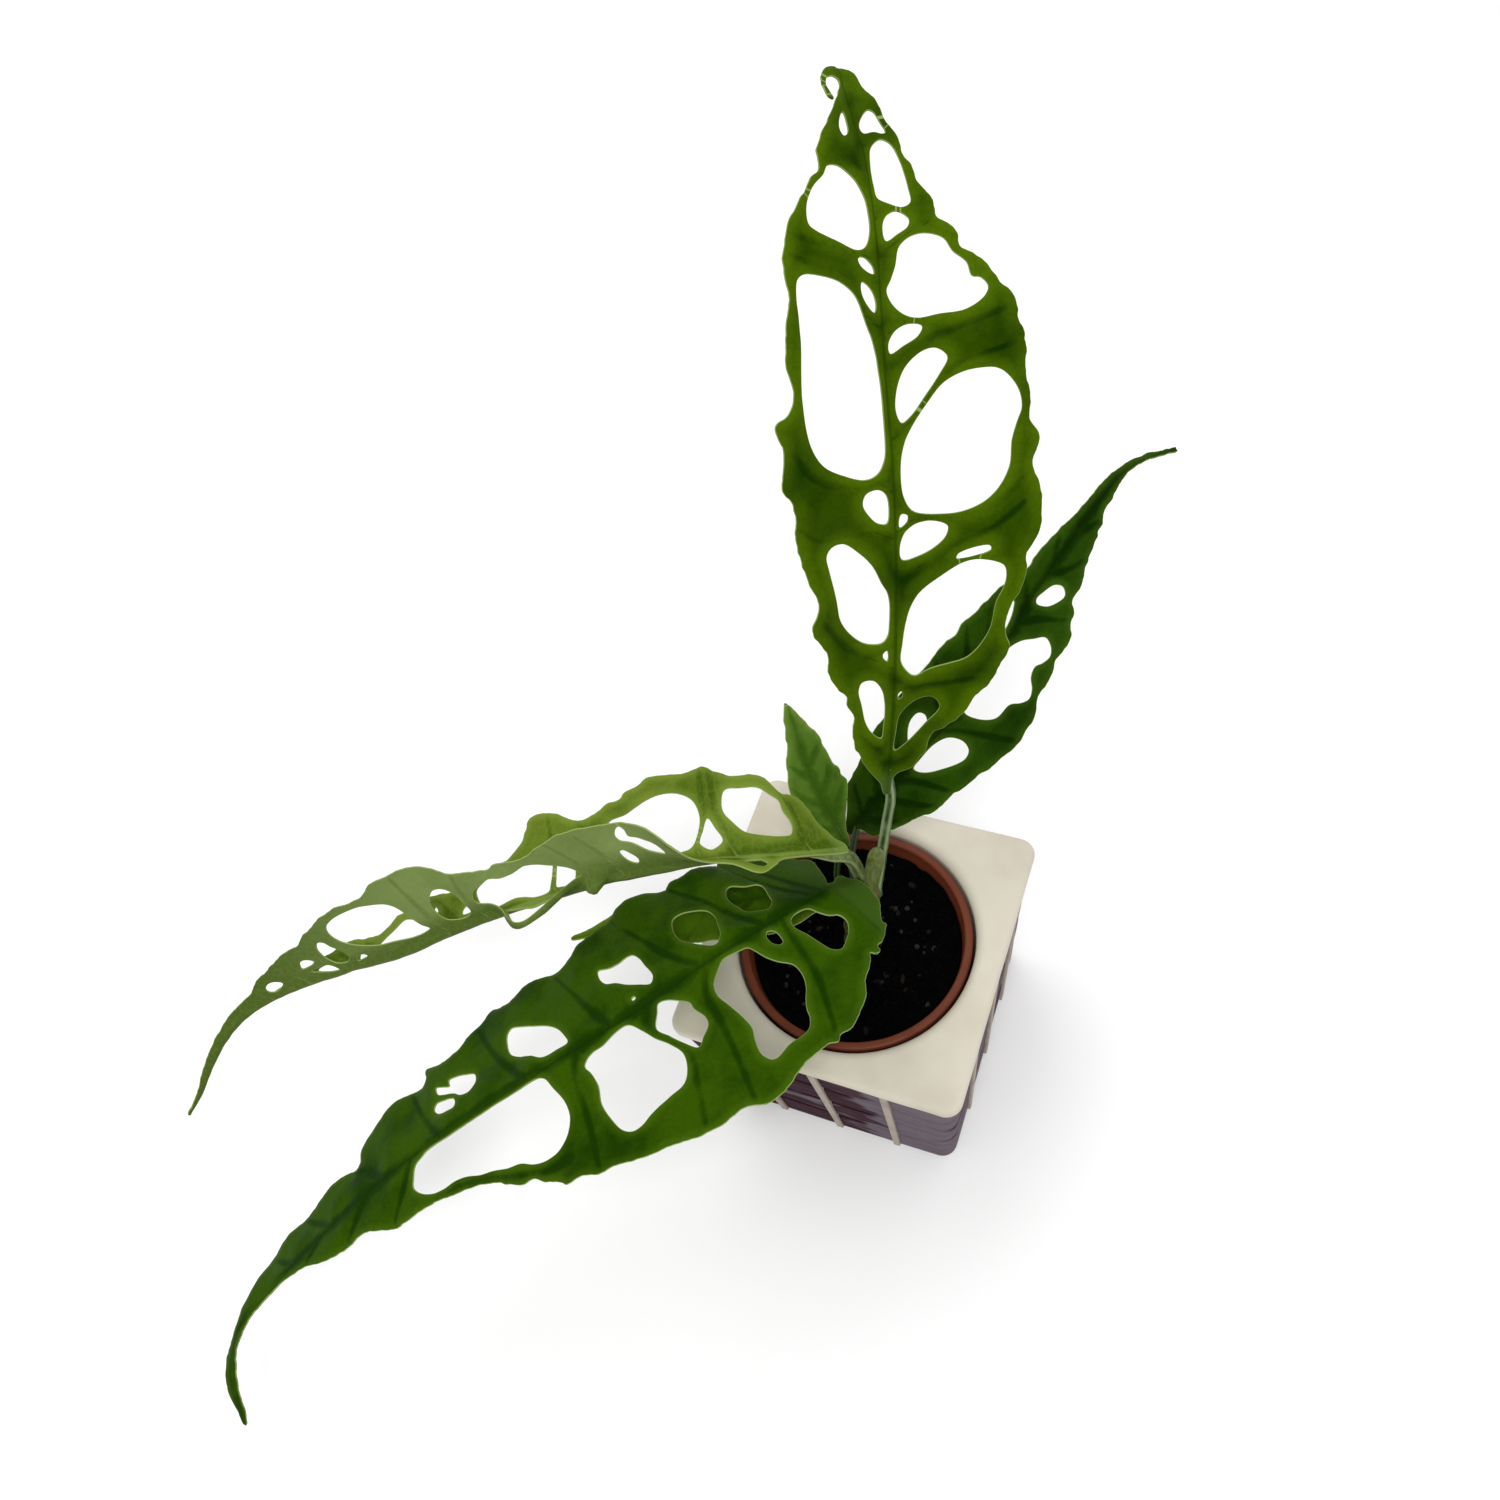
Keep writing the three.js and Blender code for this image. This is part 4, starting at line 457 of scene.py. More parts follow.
                [32, -33], [30, -30], [29.5, -28], [28, -25], [26, -22], [24.7, -18], [25, -14.5],
                [28, -11.5], [30, -8], [31, -5],
            ],
            [
                [11, -2.2], [13, -1.3], [15.5, -1.4], [17.5, -2.6], [18, -5], [16.8, -9], [16, -13],
                [15, -17], [13.5, -18.5], [11, -17], [8, -14.5], [6, -11.5], [6.3, -9], [8.5, -7.5],
                [9.9, -5],
            ],
            [[22.9, -4], [23.5, -2.4], [24.8, -1.7], [25.9, -3.2], [25.9, -6], [24.5, -7.4], [23.2, -7]],
        ],
    },

    "leaf_under": {
        "petiole": [[-1.7, 4.4, 83], [-2.8, 3.6, 88], [-2.6, 1.7, 95], [-3.2, -0.7, 101]],
        "petiole_radius": [1.4, 1.2],
        "spine": [[-5, -2, 103], [-24, -5, 102], [-42, -12.5, 98], [-59.5, -20.5, 94], [-79.5, -28.5, 88]],
        "roll": [0, 0],
        "fold": [5, 5],
        "wave": [0.5, 16],
        "margin": [
            [-1, 1.2], [3, 3], [8, 6], [15, 8.5], [25, 9.5], [35, 9.5], [45, 8.5], [52, 7.5], [58, 6.5],
            [64, 5.5], [70, 4], [75, 2.6], [80, 1.1], [83.4, 0.4], [83.4, -0.4], [79, -0.8], [70, -1.5],
            [62, -3.5], [55, -6], [48, -9], [42, -10.7], [36, -11.2], [30, -11.5], [22, -12.5], [15, -12],
            [10, -10], [6, -7], [3, -3.7], [-1, -1.2],
        ],
        "holes": [],
    },
}

# The veins of each blade that run out from the midrib between the holes, drawn flat like the margin
VEINS = {
    "leaf_upright": [
        [[4, 0], [6.5, 3], [10, 7]],
        [[29, 0], [31.5, 8], [35, 20]],
        [[60, 0], [65.3, 5.5], [69.5, 12], [74, 22], [80, 31]],
        [[73.5, 0], [77.3, 4.5], [77.4, 13], [80, 24], [86, 32]],
        [[97, 0], [99, 2.6], [103, 7.2], [108, 11.3], [113, 17], [117, 30]],
        [[113.5, 0], [116.3, 4.5], [119, 9.5], [122, 18], [125, 28]],
        [[120, 0], [123.6, 4], [124, 10]],
        [[138, 0], [142.3, 6], [144.8, 12], [147, 13]],
        [[146.5, 0], [149, 4], [148.8, 9], [150.5, 12]],
        [[163, 0], [165.8, 3], [166.3, 6.5]],
        [[8, 0], [11, -4], [16, -9.5]],
        [[36, 0], [40.5, -6.5], [46, -13.5], [54, -19]],
        [[72, 0], [75.3, -5], [75.6, -12], [76, -20], [80, -25]],
        [[84, 0], [87, -3.5], [87.3, -9], [92, -20], [100, -26]],
        [[122, 0], [126, -3.9], [131, -5.6], [134.6, -9], [136.5, -16], [139, -22]],
        [[137.5, 0], [138.9, -3.5], [140.3, -9], [142, -16], [143, -20.5]],
        [[158, 0], [159.8, -5], [159.6, -10], [160.5, -12]],
    ],
    "leaf_right": [
        [[4, 0], [8, 4], [14, 10]],
        [[14, 0], [19, 6], [26, 14]],
        [[22, 0], [27, 5], [32, 14]],
        [[42, 0], [47.5, 7], [53, 18]],
        [[80, 0], [84, 5], [88, 12]],
        [[96, 0], [101, 4], [107, 7]],
        [[110, 0], [120, 4]],
        [[4, 0], [8, -4], [14, -10]],
        [[14, 0], [20, -6], [30, -14]],
        [[26, 0], [31, -6], [42, -15]],
        [[44, 0], [50, -7], [58, -14]],
        [[58, 0], [64, -7], [72, -13]],
        [[70, 0], [74, -6.5], [82, -10]],
        [[86, 0], [92, -5.5]],
        [[100, 0], [108, -4]],
    ],
    "leaf_small": [
        [[2, 0], [6, 3]],
        [[8, 0], [12, 4], [16, 8]],
        [[16, 0], [20, 4], [26, 6.8]],
        [[25, 0], [32, 5.6]],
        [[4, 0], [7, -4], [12, -7.8]],
        [[13, 0], [17, -4], [22, -7]],
        [[22, 0], [28, -5.2]],
    ],
    "leaf_left": [
        [[9, 0], [11.3, 6], [12.5, 14], [17.4, 20.3]],
        [[30, 0], [33, 5], [34.2, 10], [35.6, 15], [37, 28]],
        [[40, 0], [41.3, 4.4], [40.25, 9], [39.4, 13], [39.5, 28]],
        [[66, 0], [70, 8], [75, 20]],
        [[84, 0], [85, 3.5], [84.4, 9], [84.2, 14], [86, 25]],
        [[110, 0], [112.5, 6], [114, 12]],
        [[118, 0], [122, 7], [127, 13.5]],
        [[148, 0], [151.3, 4], [155, 8]],
        [[158, 0], [163, 5], [168, 7.5]],
        [[176, 0], [186, 3]],
        [[35, 0], [42, -9], [47, -17]],
        [[62, 0], [65, -8], [70, -18]],
        [[69, 0], [72, -4], [73, -9], [78, -18]],
        [[107, 0], [108.8, -6], [108.9, -13], [108, -19]],
        [[121, 0], [122.8, -8], [123, -16], [123.5, -26]],
        [[155.8, -5.6], [157.2, -10.5], [159.5, -15.5], [161, -18.4]],
        [[166.5, -5.3], [166.5, -11], [167, -15.4]],
        [[176, 0], [180, -6], [184, -10.4]],
        [[192, 0], [197, -4.8]],
    ],
    "leaf_front": [
        [[3, 0], [4.5, 12], [6, 34]],
        [[6, 0], [9, 10], [11, 21], [14, 35]],
        [[24, 0], [28.5, 11], [32, 22], [39, 38]],
        [[45, 0], [51, 12], [55, 24], [62, 40]],
        [[74, 0], [80, 12], [85, 22], [92, 34]],
        [[103, 0], [109, 7.5], [116, 17], [124, 33]],
        [[136, 0], [143, 10], [150, 24]],
        [[160, 0], [168, 8], [178, 13.5]],
        [[185, 0], [200, 12]],
        [[205, 0], [218, 10]],
        [[0, 0], [0, -10], [1, -22]],
        [[19, 0], [20.5, -10], [22, -21], [27, -37]],
        [[44, 0], [48.5, -10], [49.5, -20], [53, -40]],
        [[63, 0], [64.8, -5.5], [62.4, -12], [60, -20], [62, -30], [64, -39]],
        [[86, 0], [88.5, -8], [88, -18], [89, -34]],
        [[148, 0], [153, -7], [160, -14.5]],
        [[96, -27], [104, -26.5], [112, -24], [122, -20.4], [132, -17], [142, -15.6]],
        [[166, 0], [180, -8.6]],
        [[188, 0], [200, -3.4]],
    ],
    "leaf_under": [
        [[8, 0], [14, 4], [22, 8.6]],
        [[22, 0], [28, 4], [36, 8.6]],
        [[36, 0], [44, 7.6]],
        [[50, 0], [58, 5.6]],
        [[8, 0], [13, -5], [20, -11.5]],
        [[22, 0], [28, -5], [36, -10.6]],
        [[36, 0], [44, -9]],
        [[50, 0], [57, -5]],
    ],
}

# How each leaf looks. dark and light mottle its upper face, margin shines through near its edges within
# glow millimetres, and quilt is how far the blade swells between its veins. stalk and ridge colour the
# petiole, and stalk_radius is its radius at the stem and at the blade.
LOOKS = {
    "leaf_upright": {
        "slot": "leaf_bright", "dark": (17, 42, 1), "light": (44, 68, 0), "margin": (72, 98, 5),
        "vein": (12, 34, 1), "underside": (108, 134, 66), "glow": 5, "quilt": 0.7,
        "stalk": (60, 82, 42), "ridge": (142, 162, 114), "stalk_radius": (1.7, 1.4),
    },
    "leaf_right": {
        "slot": "leaf_dark", "dark": (13, 36, 1), "light": (36, 64, 6), "margin": (52, 80, 16),
        "vein": (11, 30, 2), "underside": (96, 122, 62), "glow": 2.5, "quilt": 0.6,
        "stalk": (20, 38, 8), "ridge": (40, 62, 18), "stalk_radius": (1.3, 0.9),
    },
    "leaf_small": {
        "slot": "leaf_mid", "dark": (54, 84, 18), "light": (78, 108, 34), "margin": (94, 124, 46),
        "vein": (44, 74, 16), "underside": (108, 136, 74), "glow": 2, "quilt": 0.4,
        "stalk": (34, 56, 14), "ridge": (66, 90, 38), "stalk_radius": (1.1, 0.9),
    },
    "leaf_left": {
        "slot": "leaf_pale", "dark": (60, 82, 12), "light": (90, 110, 30), "margin": (110, 130, 48),
        "vein": (120, 140, 70), "underside": (124, 142, 82), "glow": 3, "quilt": 0.5,
        "stalk": (104, 124, 62), "ridge": (146, 162, 108), "stalk_radius": (1.7, 2.2),
    },
    "leaf_front": {
        "slot": "leaf_rich", "dark": (21, 48, 1), "light": (46, 74, 2), "margin": (60, 88, 12),
        "vein": (13, 36, 2), "underside": (100, 128, 60), "glow": 2.5, "quilt": 1.0,
        "stalk": (56, 80, 26), "ridge": (98, 120, 60), "stalk_radius": (1.8, 1.8),
    },
    "leaf_under": {
        "slot": "leaf_shaded", "dark": (44, 76, 6), "light": (70, 100, 14), "margin": (94, 118, 30),
        "vein": (42, 66, 10), "underside": (102, 128, 64), "glow": 2.5, "quilt": 0.4,
        "stalk": (66, 84, 28), "ridge": (104, 124, 62), "stalk_radius": (1.4, 1.2),
    },
}


# The moulded and cast finishes: screen colours, sizes in millimetres, and the lowest and highest roughness.
CAST_FINISHES = {
    "planter cream": {
        "base": (205, 198, 182), "stain": (188, 179, 160), "stain_size": 18, "amount": 0.5,
        "roughness": (0.42, 0.55), "relief": 0.1, "gloss": 0.3,
    },
    # painted shade: the battens are the planter's cream, made darker here because their upright faces lie in
    # shade
    "shaded cream battens": {
        "base": (164, 152, 140), "stain": (138, 122, 114), "stain_size": 9, "amount": 0.6,
        "roughness": (0.5, 0.6), "relief": 0.06, "gloss": 0.1,
    },
    "terracotta plastic": {
        "base": (102, 49, 29), "stain": (80, 38, 22), "stain_size": 9, "amount": 0.6,
        "roughness": (0.42, 0.58), "relief": 0.06, "gloss": 0.2,
    },
}

CRUMB_BUMPS = 900.0  # lumps to a metre

# The crumbs on the soil: screen colours dry and damp, facets, seed, how many to a square metre, the
# smallest and largest radius in millimetres, how much longer than wide they are, and how far their skin
# is pushed about.
CRUMBS = {
    "dark_crumbs": {
        "dry": (7, 6, 6), "damp": (2, 2, 2), "facets": 1, "seed": 11,
        "density": 420000.0, "smallest": 0.35, "largest": 1.1, "stretch": 1.3, "lumpiness": 0.5,
    },
    "grey_crumbs": {
        "dry": (54, 53, 50), "damp": (26, 26, 25), "facets": 2, "seed": 23,
        "density": 14000.0, "smallest": 0.3, "largest": 0.9, "stretch": 1.2, "lumpiness": 0.5,
    },
    "bark_crumbs": {
        "dry": (40, 33, 27), "damp": (20, 16, 13), "facets": 2, "seed": 37,
        "density": 7000.0, "smallest": 0.4, "largest": 1.0, "stretch": 2.2, "lumpiness": 0.6,
    },
}


# Curves.


def smoothstep(low, high, x):
    share = np.clip((x - low) / (high - low), 0, 1)
    return share * share * (3 - 2 * share)


def open_curve(points, shares):
    """Points and slopes of a smooth curve through the given points, at shares of the way along them."""
    known = np.array(points, float)
    last = len(known) - 1
    known = np.vstack([2 * known[0] - known[1], known, 2 * known[-1] - known[-2]])
    place = np.clip(shares, 0, 1) * last
    first = np.minimum(place.astype(int), last - 1)
    t = (place - first)[:, None]
    a, b, c, d = (known[first + k] for k in range(4))
    square = 2 * a - 5 * b + 4 * c - d
    cube = 3 * b - a - 3 * c + d
    position = 0.5 * (2 * b + (c - a) * t + square * t**2 + cube * t**3)
    slope = 0.5 * ((c - a) + 2 * square * t + 3 * cube * t**2)
    return position, slope


def closed_curve(points, spacing):
    """Points about spacing apart on a smooth closed curve through the given points."""
    known = np.array(points, float)
    found = []
    for i in range(len(known)):
        a, b, c, d = (known[(i + k) % len(known)] for k in (-1, 0, 1, 2))
        before, between, after = (math.sqrt(np.linalg.norm(q - p)) for p, q in ((a, b), (b, c), (c, d)))
        count = max(1, math.ceil(between**2 / spacing))
        for t in np.arange(count) / count * between:
            p = a + (b - a) * (t + before) / before
            q = b + (c - b) * t / between
            r = c + (d - c) * (t - between) / after
            s = p + (q - p) * (t + before) / (before + between)
            w = q + (r - q) * t / (between + after)
            found.append(s + (w - s) * t / between)
    return np.array(found)


def along(points, spacing):
    """Points about spacing apart on a smooth open curve through the given points."""
    length = np.linalg.norm(np.diff(np.array(points, float), axis=0), axis=1).sum()
    return open_curve(points, np.linspace(0, 1, max(2, round(length / spacing) + 1)))[0]


def unit(vectors):
    return vectors / np.linalg.norm(vectors, axis=-1, keepdims=True)


# Meshes.


def faces_out(points, faces):
    """Whether the faces of a closed mesh turn outwards."""
    p, q, r = (points[[face[k] for face in faces]] for k in range(3))
    return np.einsum("ij,ij->i", p, np.cross(q, r)).sum() > 0


def make_piece(name, points, faces, materials, body="root", replaced=(), attributes=None,
               flat=None, face_materials=None, sharp=()):
    """A finished piece of the object, from points in millimetres."""
    mesh = bpy.data.meshes.new(name)
    mesh.from_pydata((np.asarray(points) * MM).tolist(), [], [list(map(int, face)) for face in faces])
    mesh.polygons.foreach_set("use_smooth", np.ones(len(mesh.polygons), bool))
    for material in materials:
        mesh.materials.append(material)
    if face_materials is not None:
        mesh.polygons.foreach_set("material_index", np.asarray(face_materials, np.int32))
    for label, values in (attributes or {}).items():
        attribute = mesh.attributes.new(label, "FLOAT", "POINT")
        attribute.data.foreach_set("value", np.asarray(values, np.float32))
    if flat is not None:
        corners = np.empty(len(mesh.loops), np.int32)
        mesh.loops.foreach_get("vertex_index", corners)
        layer = mesh.uv_layers.new(name="flat")
        layer.data.foreach_set("uv", (np.asarray(flat)[corners] / FLAT_SCALE).astype(np.float32).ravel())
    if len(sharp):
        known = {tuple(sorted(edge.vertices)): edge.index for edge in mesh.edges}
        for edge in sharp:
            mesh.edges[known[tuple(sorted(edge))]].use_edge_sharp = True
    piece = bpy.data.objects.new(name, mesh)
    bpy.context.scene.collection.objects.link(piece)
    if replaced:
        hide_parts(*replaced)
    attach(piece, body)
    return piece


def ring_faces(count, rings):
    """Faces between rings of count points each, and the fans that close the first and last ring, whose
    centres come after the rings."""
    faces = []
    for r in range(rings - 1):
        for i in range(count):
            j = (i + 1) % count
            faces.append((r * count + i, r * count + j, (r + 1) * count + j, (r + 1) * count + i))
    start, end = rings * count, rings * count + 1
    last = (rings - 1) * count
    for i in range(count):
        j = (i + 1) % count
        faces.append((j, i, start))
        faces.append((last + i, last + j, end))
    return faces


def loft(rings):
    """Points and faces of a closed body through rings of equally many points."""
    stack = np.array(rings, float)
    points = np.vstack([stack.reshape(-1, 3), stack[0].mean(axis=0), stack[-1].mean(axis=0)])
    faces = ring_faces(stack.shape[1], stack.shape[0])
    if not faces_out(points, faces):
        faces = [face[::-1] for face in faces]
    return points, faces


def turned(profile, segments):
    """Points and faces of a body turned about the z axis from a profile that starts and ends on it."""
    angles = np.linspace(0, 2 * math.pi, segments, endpoint=False)
    rings = []
    for radius, z in profile:
        rings.append(np.stack([radius * np.cos(angles), radius * np.sin(angles), np.full(segments, z)], 1))
    return loft(rings)


def swept(path, radius_at, sides, step, section=None):
    """Rings of a body along a path, with a radius for each share of it, and the angles of their points."""
    sample = open_curve(path, np.linspace(0, 1, 200))[0]
    length = np.linalg.norm(np.diff(sample, axis=0), axis=1).sum()
    shares = np.linspace(0, 1, max(4, round(length / step)))
    centres, slopes = open_curve(path, shares)
    tangents = unit(slopes)
    side = unit(np.array([1, 0, 0]) - tangents * tangents[:, :1])
    up = np.cross(tangents, side)
    angles = np.linspace(0, 2 * math.pi, sides, endpoint=False)
    profile = section(angles) if section else np.ones(sides)
    reach = radius_at(shares)[:, None] * profile
    rings = (
        centres[:, None]
        + side[:, None] * (reach * np.cos(angles))[..., None]
        + up[:, None] * (reach * np.sin(angles))[..., None]
    )
    return rings, angles, shares


def rough(points, size, seed=0.0):
    """A smooth random number from -1 to 1 for each point, in lumps of about the given size."""
    return np.array([noise.noise(Vector(p) / size + Vector((seed, seed, seed))) for p in points])


# Shader and geometry nodes.


def add_node(tree, kind, values=None, **settings):
    """A node with its settings. Each of its values is a constant or another node's output."""
    node = tree.nodes.new(kind)
    for name, value in settings.items():
        setattr(node, name, value)
    for name, value in (values or {}).items():
        if isinstance(value, bpy.types.NodeSocket):
            tree.links.new(value, node.inputs[name])
        else:
            node.inputs[name].default_value = value
    return node


def calculate(tree, operation, *values):
    """The output of a Math node, or a Vector Math node where the operation starts with vector."""
    if operation.startswith("vector "):
        node = add_node(tree, "ShaderNodeVectorMath", operation=operation[7:].upper())
    else:
        node = add_node(tree, "ShaderNodeMath", operation=operation.upper())
    for place, value in enumerate(values):
        if isinstance(value, bpy.types.NodeSocket):
            tree.links.new(value, node.inputs[place])
        else:
            node.inputs[place].default_value = value
    return node.outputs[0]


def mix(tree, share, first, second):
    """A colour between two others."""
    node = add_node(tree, "ShaderNodeMix", data_type="RGBA", blend_type="MIX")
    for place, value in ((0, share), (6, first), (7, second)):
        if isinstance(value, bpy.types.NodeSocket):
            tree.links.new(value, node.inputs[place])
        else:
            node.inputs[place].default_value = value
    return node.outputs[2]


def step_up(tree, value, low, high, bottom=0.0, top=1.0):
    """A number that rises smoothly from bottom to top while value goes from low to high."""
    values = {"Value": value, "From Min": low, "From Max": high, "To Min": bottom, "To Max": top}
    return add_node(tree, "ShaderNodeMapRange", values, interpolation_type="SMOOTHSTEP").outputs["Result"]


def lumps(tree, place, size, detail=3.0, roughness=0.5):
    """Soft noise from 0 to 1 with lumps of about size, in the units of place."""
    values = {"Vector": place, "Scale": 1 / size, "Detail": detail, "Roughness": roughness}
    return add_node(tree, "ShaderNodeTexNoise", values).outputs["Fac"]


def new_group(name, inputs, outputs, kind="ShaderNodeTree"):
    """A node group with named inputs and outputs, each (name, type, default)."""
    tree = bpy.data.node_groups.new(name, kind)
    for label, socket, value in inputs:
        made = tree.interface.new_socket(label, in_out="INPUT", socket_type=socket)
        if value is not None:
            made.default_value = value
    for label, socket in outputs:
        tree.interface.new_socket(label, in_out="OUTPUT", socket_type=socket)
    start = tree.nodes.new("NodeGroupInput").outputs
    end = tree.nodes.new("NodeGroupOutput").inputs
    return tree, start, end


def colour(red, green, blue):
    """A screen colour of 0 to 255 as the linear colour that a shader takes."""
    def linear(value):
        share = value / 255
        return share / 12.92 if share <= 0.04045 else ((share + 0.055) / 1.055) ** 2.4

    return (linear(red), linear(green), linear(blue), 1.0)


def new_material(name):
    material = bpy.data.materials.new(name)
    material.use_nodes = True
    return material, material.node_tree, material.node_tree.nodes["Principled BSDF"]


def bump(tree, shader, height, depth_mm, strength=1.0):
    """Raises a surface by a height from 0 to 1, times a depth in millimetres."""
    values = {"Height": height, "Distance": depth_mm * MM, "Strength": strength}
    tree.links.new(add_node(tree, "ShaderNodeBump", values).outputs["Normal"], shader.inputs["Normal"])


def object_place(tree):
    """Object coordinates in millimetres."""
    place = add_node(tree, "ShaderNodeTexCoord").outputs["Object"]
    scaled = add_node(tree, "ShaderNodeVectorMath", operation="SCALE")
    tree.links.new(place, scaled.inputs[0])
    scaled.inputs["Scale"].default_value = 1 / MM
    return scaled.outputs[0]


# Materials.


def leaf_skin_group():
    """Colour, roughness and relief of a leaf, from its flat map and from how far each point lies from
    the edge and from the veins."""
    colours = ("Dark", "Light", "Margin", "Vein", "Underside", "Cut Edge", "Stalk")
    tree, given, result = new_group(
        "leaf skin",
        [(label, "NodeSocketColor", (0.1, 0.2, 0.05, 1)) for label in colours]
        + [("Glow Width", "NodeSocketFloat", 3.0), ("Reach", "NodeSocketFloat", 100.0)],
        [("Color", "NodeSocketColor"), ("Roughness", "NodeSocketFloat"), ("Height", "NodeSocketFloat")],
    )
    flat = add_node(tree, "ShaderNodeVectorMath", operation="SCALE")
    tree.links.new(add_node(tree, "ShaderNodeUVMap", uv_map="flat").outputs["UV"], flat.inputs[0])
    flat.inputs["Scale"].default_value = FLAT_SCALE
    place = flat.outputs[0]
    edge = add_node(tree, "ShaderNodeAttribute", attribute_name="edge").outputs["Fac"]
    vein = add_node(tree, "ShaderNodeAttribute", attribute_name="vein").outputs["Fac"]
    under = add_node(tree, "ShaderNodeAttribute", attribute_name="underside").outputs["Fac"]

    broad = lumps(tree, place, 26, 2)
    fine = lumps(tree, place, 5, 4, 0.6)
    broad_part = calculate(tree, "multiply", broad, 0.75)
    mottle = calculate(tree, "add", broad_part, calculate(tree, "multiply", fine, 0.25))
    # painted shade: the upper face darkens in the hollows along the veins and lightens on the swellings
    # between them
    away = step_up(tree, vein, 0.8, 6.0, -0.1, 0.05)
    light = step_up(tree, calculate(tree, "add", mottle, away), 0.36, 0.62)
    upper = mix(tree, light, given["Dark"], given["Light"])

    near_edge = calculate(tree, "divide", edge, given["Glow Width"])
    patchy = step_up(tree, broad, 0.3, 0.6, 0.35, 0.9)
    glow = calculate(tree, "multiply", step_up(tree, near_edge, 0.0, 1.0, 1.0, 0.0), patchy)
    upper = mix(tree, glow, upper, given["Margin"])

    cells = {"Vector": place, "Scale": 1 / 2.4, "Randomness": 0.9}
    net = add_node(tree, "ShaderNodeTexVoronoi", cells, feature="DISTANCE_TO_EDGE").outputs["Distance"]
    net_line = step_up(tree, net, 0.0, 0.1, 1.0, 0.0)
    vein_line = step_up(tree, vein, 0.4, 1.1, 1.0, 0.0)
    side_veins = calculate(tree, "multiply", vein_line, 0.45)
    veins = calculate(tree, "maximum", side_veins, calculate(tree, "multiply", net_line, 0.14))
    upper = mix(tree, veins, upper, given["Vein"])

    shade = step_up(tree, mottle, 0.32, 0.68, 0.0, 0.36)
    flat_place = add_node(tree, "ShaderNodeSeparateXYZ", {"Vector": place}).outputs
    from_rib = calculate(tree, "absolute", flat_place["Y"])
    shade = calculate(tree, "maximum", shade, step_up(tree, from_rib, 2.0, 14.0, 0.8, 0.0))
    shade = calculate(tree, "maximum", shade, step_up(tree, vein, 1.0, 6.0, 0.5, 0.0))
    along_leaf = calculate(tree, "divide", flat_place["X"], given["Reach"])
    shade = calculate(tree, "maximum", shade, step_up(tree, along_leaf, 0.35, 0.8, 0.0, 0.85))
    lower = mix(tree, shade, given["Underside"], given["Dark"])
    lower = mix(tree, calculate(tree, "multiply", veins, 0.6), lower, given["Cut Edge"])
    surface = mix(tree, under, upper, lower)
    base = add_node(tree, "ShaderNodeAttribute", attribute_name="base").outputs["Fac"]
    surface = mix(tree, calculate(tree, "multiply", base, 0.7), surface, given["Stalk"])
    cut = step_up(tree, edge, 0.02, 0.16, 0.7, 0.0)
    tree.links.new(mix(tree, cut, surface, given["Cut Edge"]), result["Color"])

    tree.links.new(step_up(tree, fine, 0.3, 0.7, 0.42, 0.58), result["Roughness"])
    swell = calculate(tree, "multiply", step_up(tree, net, 0.0, 0.5), 0.5)
    height = calculate(tree, "add", swell, calculate(tree, "multiply", fine, 0.5))
    tree.links.new(height, result["Height"])
    return tree


def leaf_material(name, look, skin, reach):
    material, tree, shader = new_material(name)
    surface = add_node(tree, "ShaderNodeGroup", node_tree=skin)
    for label, key in (("Dark", "dark"), ("Light", "light"), ("Margin", "margin"), ("Vein", "vein"),
                       ("Underside", "underside"), ("Stalk", "stalk")):
        surface.inputs[label].default_value = colour(*look[key])
    surface.inputs["Cut Edge"].default_value = colour(*CUT_EDGE)
    surface.inputs["Glow Width"].default_value = look["glow"]
    surface.inputs["Reach"].default_value = reach
    tree.links.new(surface.outputs["Color"], shader.inputs["Base Color"])
    tree.links.new(surface.outputs["Roughness"], shader.inputs["Roughness"])
    for label, value in LEAF_GLOSS.items():
        shader.inputs[label].default_value = value
    bump(tree, shader, surface.outputs["Height"], 0.1, 0.6)
    return material


def stalk_material(name, base, ridge):
    """Living green skin with fine streaks that run up it, and paler ridges."""
    material, tree, shader = new_material(name)
    place = object_place(tree)
    upwards = calculate(tree, "vector multiply", place, (1, 1, 0.12))
    streak = lumps(tree, upwards, 0.9, 3, 0.6)
    patch = lumps(tree, place, 6, 2)
    edge = add_node(tree, "ShaderNodeAttribute", attribute_name="edge").outputs["Fac"]
    skin = mix(tree, step_up(tree, streak, 0.35, 0.65), colour(*base), colour(*(0.74 * c for c in base)))
    skin = mix(tree, step_up(tree, patch, 0.45, 0.7, 0.0, 0.4), skin, colour(*ridge))
    skin = mix(tree, step_up(tree, edge, 0.1, 0.5, 0.8, 0.0), skin, colour(*ridge))
    tree.links.new(skin, shader.inputs["Base Color"])
    shader.inputs["Specular IOR Level"].default_value = 0.3
    tree.links.new(step_up(tree, patch, 0.3, 0.7, 0.4, 0.52), shader.inputs["Roughness"])
    bump(tree, shader, streak, 0.1, 0.5)
    return material


